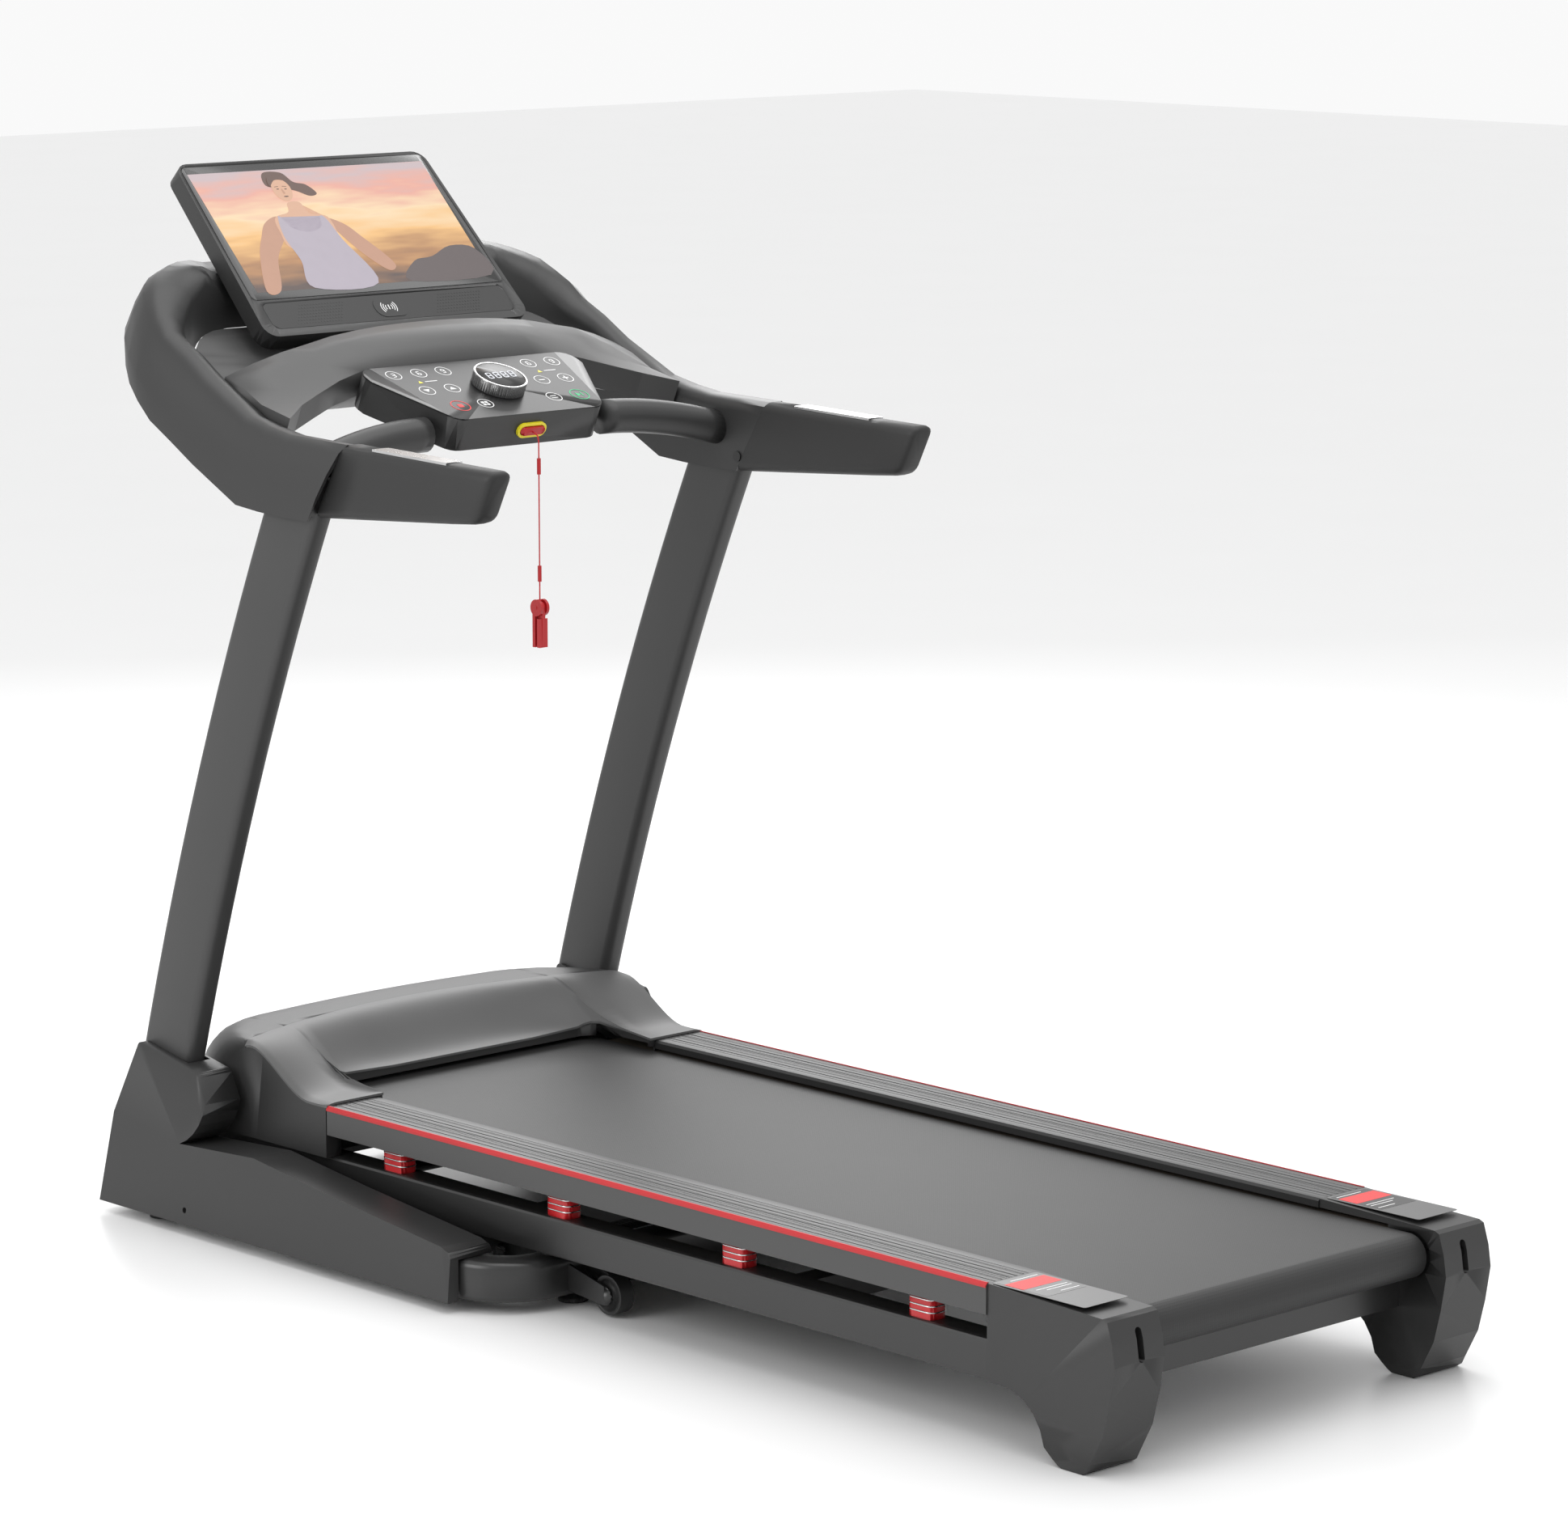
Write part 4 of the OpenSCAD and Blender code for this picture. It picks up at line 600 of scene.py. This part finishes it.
for side, x in (("left", -0.118), ("right", 0.118)):
    grow(side + "_speaker_holes", holes, gloss_black, "screen", place=strip, Place=(x, 0.0215, 0.0001))
slab("speaker_badge", [rounded(-27, 5, 27, 38, 15)], strip, soft_plastic, "screen", thick=0.6)
waves = [band(-3, 21, r, 1.2, a, a + 80, 8) for r in (6, 9.5, 13) for a in (-40, 140)] + [bar(-3, 17, -3, 25, 1.6)]
slab("speaker_badge_mark", waves, strip, white_ink, "screen", lift=0.6, thick=0.2)

# %% [markdown]
# ## The picture on the screen
# The screen shows a running scene, drawn here as flat layers: an evening sky
# from a colour ramp and cloud noise, dark hills, and a plain stylised runner.
# The layers glow, because a screen is its own light.

# %% Sky
screen = face_of("screen_glass", 45)
slab("picture_sky", [[(-200, 12), (200, 12), (200, 219), (-200, 219)]], screen, digit_white, "screen", thick=0.1)
sky_piece = bpy.data.objects["picture_sky"]
layer = sky_piece.data.uv_layers.new(name="UVMap")
back = screen.inverted()
for loop in sky_piece.data.loops:
    q = back @ sky_piece.data.vertices[loop.vertex_index].co
    layer.data[loop.index].uv = ((q.x + 0.2) / 0.4, (q.y - 0.012) / 0.207)
p = Paint("evening_sky")
uv = p.node("ShaderNodeTexCoord", {}, out="UV")
height = p.node("ShaderNodeSeparateXYZ", {}, uv, out="Y")
cloud = p.node("ShaderNodeTexNoise", {}, Vector=p.node("ShaderNodeMapping", {}, uv, Scale=(2.0, 6.0, 1.0)), Scale=1.6)
stops = [(0.0, (0.1, 0.06, 0.05)), (0.22, (0.5, 0.24, 0.09)), (0.42, (0.95, 0.55, 0.2)), (0.62, (0.98, 0.74, 0.46)),
         (0.8, (0.86, 0.42, 0.33)), (1.0, (0.62, 0.5, 0.52))]
ramp = p.node("ShaderNodeValToRGB", {"stops": stops}, height + (cloud - 0.5) * 0.5)
sky_paint = p.done(Base_Color=rgb(0.01), Roughness=0.4, Emission_Color=ramp, Emission_Strength=0.9)
sky_piece.data.materials[0] = sky_paint


# %% [markdown]
# ## The runner
# The figure is nobody in particular: smooth closed outlines in flat colours,
# stacked a tenth of a millimetre apart so that each covers the one below.

# %% Runner
def flowing(points, steps=6):
    made, n = [], len(points)
    for i in range(n):
        a, b, c, d = [points[(i + k) % n] for k in (-1, 0, 1, 2)]
        for s in range(steps):
            t = s / steps
            made.append(tuple(0.5 * (2 * b[j] + (c[j] - a[j]) * t + (2 * a[j] - 5 * b[j] + 4 * c[j] - d[j]) * t * t
                              + (3 * b[j] - a[j] - 3 * c[j] + d[j]) * t ** 3) for j in (0, 1)))
    return made


def oval(x, y, rx, ry, lean=0, n=24):
    c, s = math.cos(math.radians(lean)), math.sin(math.radians(lean))
    turns = [2 * math.pi * i / n for i in range(n)]
    return [(x + rx * math.cos(a) * c - ry * math.sin(a) * s, y + rx * math.cos(a) * s + ry * math.sin(a) * c)
            for a in turns]


skin_tone = lamp("runner_skin", (0.82, 0.47, 0.3), 0.85)
skin_shade = lamp("runner_skin_shade", (0.62, 0.32, 0.2), 0.85)
hair = lamp("runner_hair", (0.12, 0.05, 0.03), 0.85)
vest = lamp("runner_vest", (0.52, 0.46, 0.54), 0.85)
dusk = lamp("hill_dusk", (0.1, 0.07, 0.07), 0.85)
layers = [
    ("picture_hills", [flowing([(60, 12.5), (200, 12.5), (199.5, 60), (160, 68), (120, 52), (85, 46)], 4)], dusk),
    ("runner_hair", [flowing([(-78, 214), (-48, 213), (-36, 196), (-18, 190), (-8, 174), (-22, 170), (-40, 180),
                              (-60, 186), (-84, 192)])], hair),
    ("runner_arms", [flowing([(-122, 128), (-96, 138), (-84, 120), (-112, 92), (-136, 64), (-160, 13), (-184, 13),
                              (-162, 72), (-140, 106)]),
                     flowing([(-20, 130), (6, 118), (24, 92), (44, 60), (50, 40), (34, 34), (10, 62), (-8, 96)])],
     skin_shade),
    ("runner_trunk", [flowing([(-66, 160), (-46, 160), (-40, 140), (-14, 132), (-14, 100), (-24, 80), (-100, 80),
                               (-106, 112), (-100, 136), (-74, 144)])], skin_tone),
    ("runner_vest", [flowing([(-92, 138), (-84, 118), (-58, 108), (-34, 116), (-26, 134), (-18, 128), (-12, 92),
                              (4, 13), (-104, 13), (-100, 60), (-104, 100), (-98, 130)])], vest),
    ("runner_face", [oval(-62, 184, 15.5, 21, -8)], skin_tone),
    ("runner_fringe", [flowing([(-79, 190), (-76, 205), (-62, 210), (-48, 205), (-46, 190), (-52, 199), (-66, 200)])],
     hair),
    ("runner_features", [oval(-68.5, 184.5, 2.2, 0.9), oval(-55.5, 184, 2.2, 0.9), bar(-72, 188.4, -65.5, 189, 0.8),
                         bar(-59, 189, -52, 188.2, 0.8), oval(-61.5, 171, 4, 1.1)], hair),
    ("runner_nose", [flowing([(-63, 184), (-61.5, 184), (-60, 176.5), (-63.5, 176.3)], 3)], skin_shade),
]
for i, (name, shapes, paint) in enumerate(layers):
    slab(name, shapes, screen, paint, "screen", lift=0.1 * (i + 1), thick=0.1)
print(len(layers), "picture layers")

# %% [markdown]
# ## End cap plates and stickers
# Each rear foot carries a brushed grey top plate. Its sticker is a plain
# panel with bars, with no words on it.

# %% End cap plates
def flip(shapes):
    return [[(s * x, y) for x, y in q] for q in shapes]


plate_grey = grained("cap_plate_grey", even(0.1), 0.42, grain=1500)
for side, s in (("left", -1), ("right", 1)):
    top = Matrix.Translation((0, 0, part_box(side + "_end_cap")[1].z))
    slab(side + "_cap_plate", flip([rounded(250, -868, 322, -722, 4)]), top, plate_grey, "deck", thick=0.5)
    slab(side + "_sticker", flip([rounded(254, -806, 318, -726, 2)]), top, gloss_black, "deck", lift=0.5, thick=0.15)
    slab(side + "_sticker_red", flip([rounded(254, -768, 318, -738, 1)]), top, red_ink, "deck", lift=0.65, thick=0.1)
    lines = [bar(258, y, 258 + w, y, 1.6) for y, w in ((-732, 44), (-779, 50), (-786, 40), (-798, 30))]
    slab(side + "_sticker_bars", flip(lines), top, white_ink, "deck", lift=0.65, thick=0.1)

# %% [markdown]
# ## Screws
# A few recessed screws hold the console arms. Each is a small domed head set
# on a point, turned to face outwards.

# %% Screws
screws = Tree("side_screws", Radius=0.007, Depth=0.003)
head = screws.add("GeometryNodeMeshCylinder", Vertices=24, Radius=screws["Radius"], Depth=screws["Depth"])
head = screws.add("GeometryNodeTransform", Geometry=head, Rotation=(0.0, math.pi / 2, 0.0))
screws.finish(screws.add("GeometryNodeInstanceOnPoints", Points=screws["Geometry"], Instance=head), gloss_black)
grow("arm_screws", screws, gloss_black, "base", points=[(s * 0.3385, 0.413, 0.984) for s in (-1, 1)])

# %% [markdown]
# ## Floor and light
# A white sweep and wide soft lights give the even glow of a studio, with one
# lower light at the side for the bright edges on the covers.

# %% Floor and lights
p = Paint("studio_floor")
floor_paint = p.done(Base_Color=p.blend(p.noise(2.0), rgb(0.86), rgb(0.88)), Roughness=0.32)
ground = bpy.data.meshes.new("floor")
ground.from_pydata([(-20, -20, -0.0005), (20, -20, -0.0005), (20, 20, -0.0005), (-20, 20, -0.0005)], [], [(0, 1, 2, 3)])
ground.materials.append(floor_paint)
floor = bpy.data.objects.new("floor", ground)
bpy.context.scene.collection.objects.link(floor)
world = bpy.data.worlds.new("studio")
bpy.context.scene.world = world
world.use_nodes = True
world.node_tree.nodes["Background"].inputs["Color"].default_value = (1, 1, 1, 1)
world.node_tree.nodes["Background"].inputs["Strength"].default_value = 0.95
for name, at, size, power in (("top", (0.2, -0.2, 3.6), 3.4, 70), ("side", (-3.4, 0.6, 1.9), 2.0, 45),
                              ("back", (2.4, 3.2, 2.6), 2.4, 60)):
    lamp_data = bpy.data.lights.new(name, "AREA")
    lamp_data.size, lamp_data.energy = size, power
    holder = bpy.data.objects.new(name, lamp_data)
    holder.location = at
    holder.rotation_euler = (Vector((0, 0, 0.6)) - Vector(at)).to_track_quat("-Z", "Y").to_euler()
    bpy.context.scene.collection.objects.link(holder)
bpy.context.scene.view_settings.view_transform = "Standard"
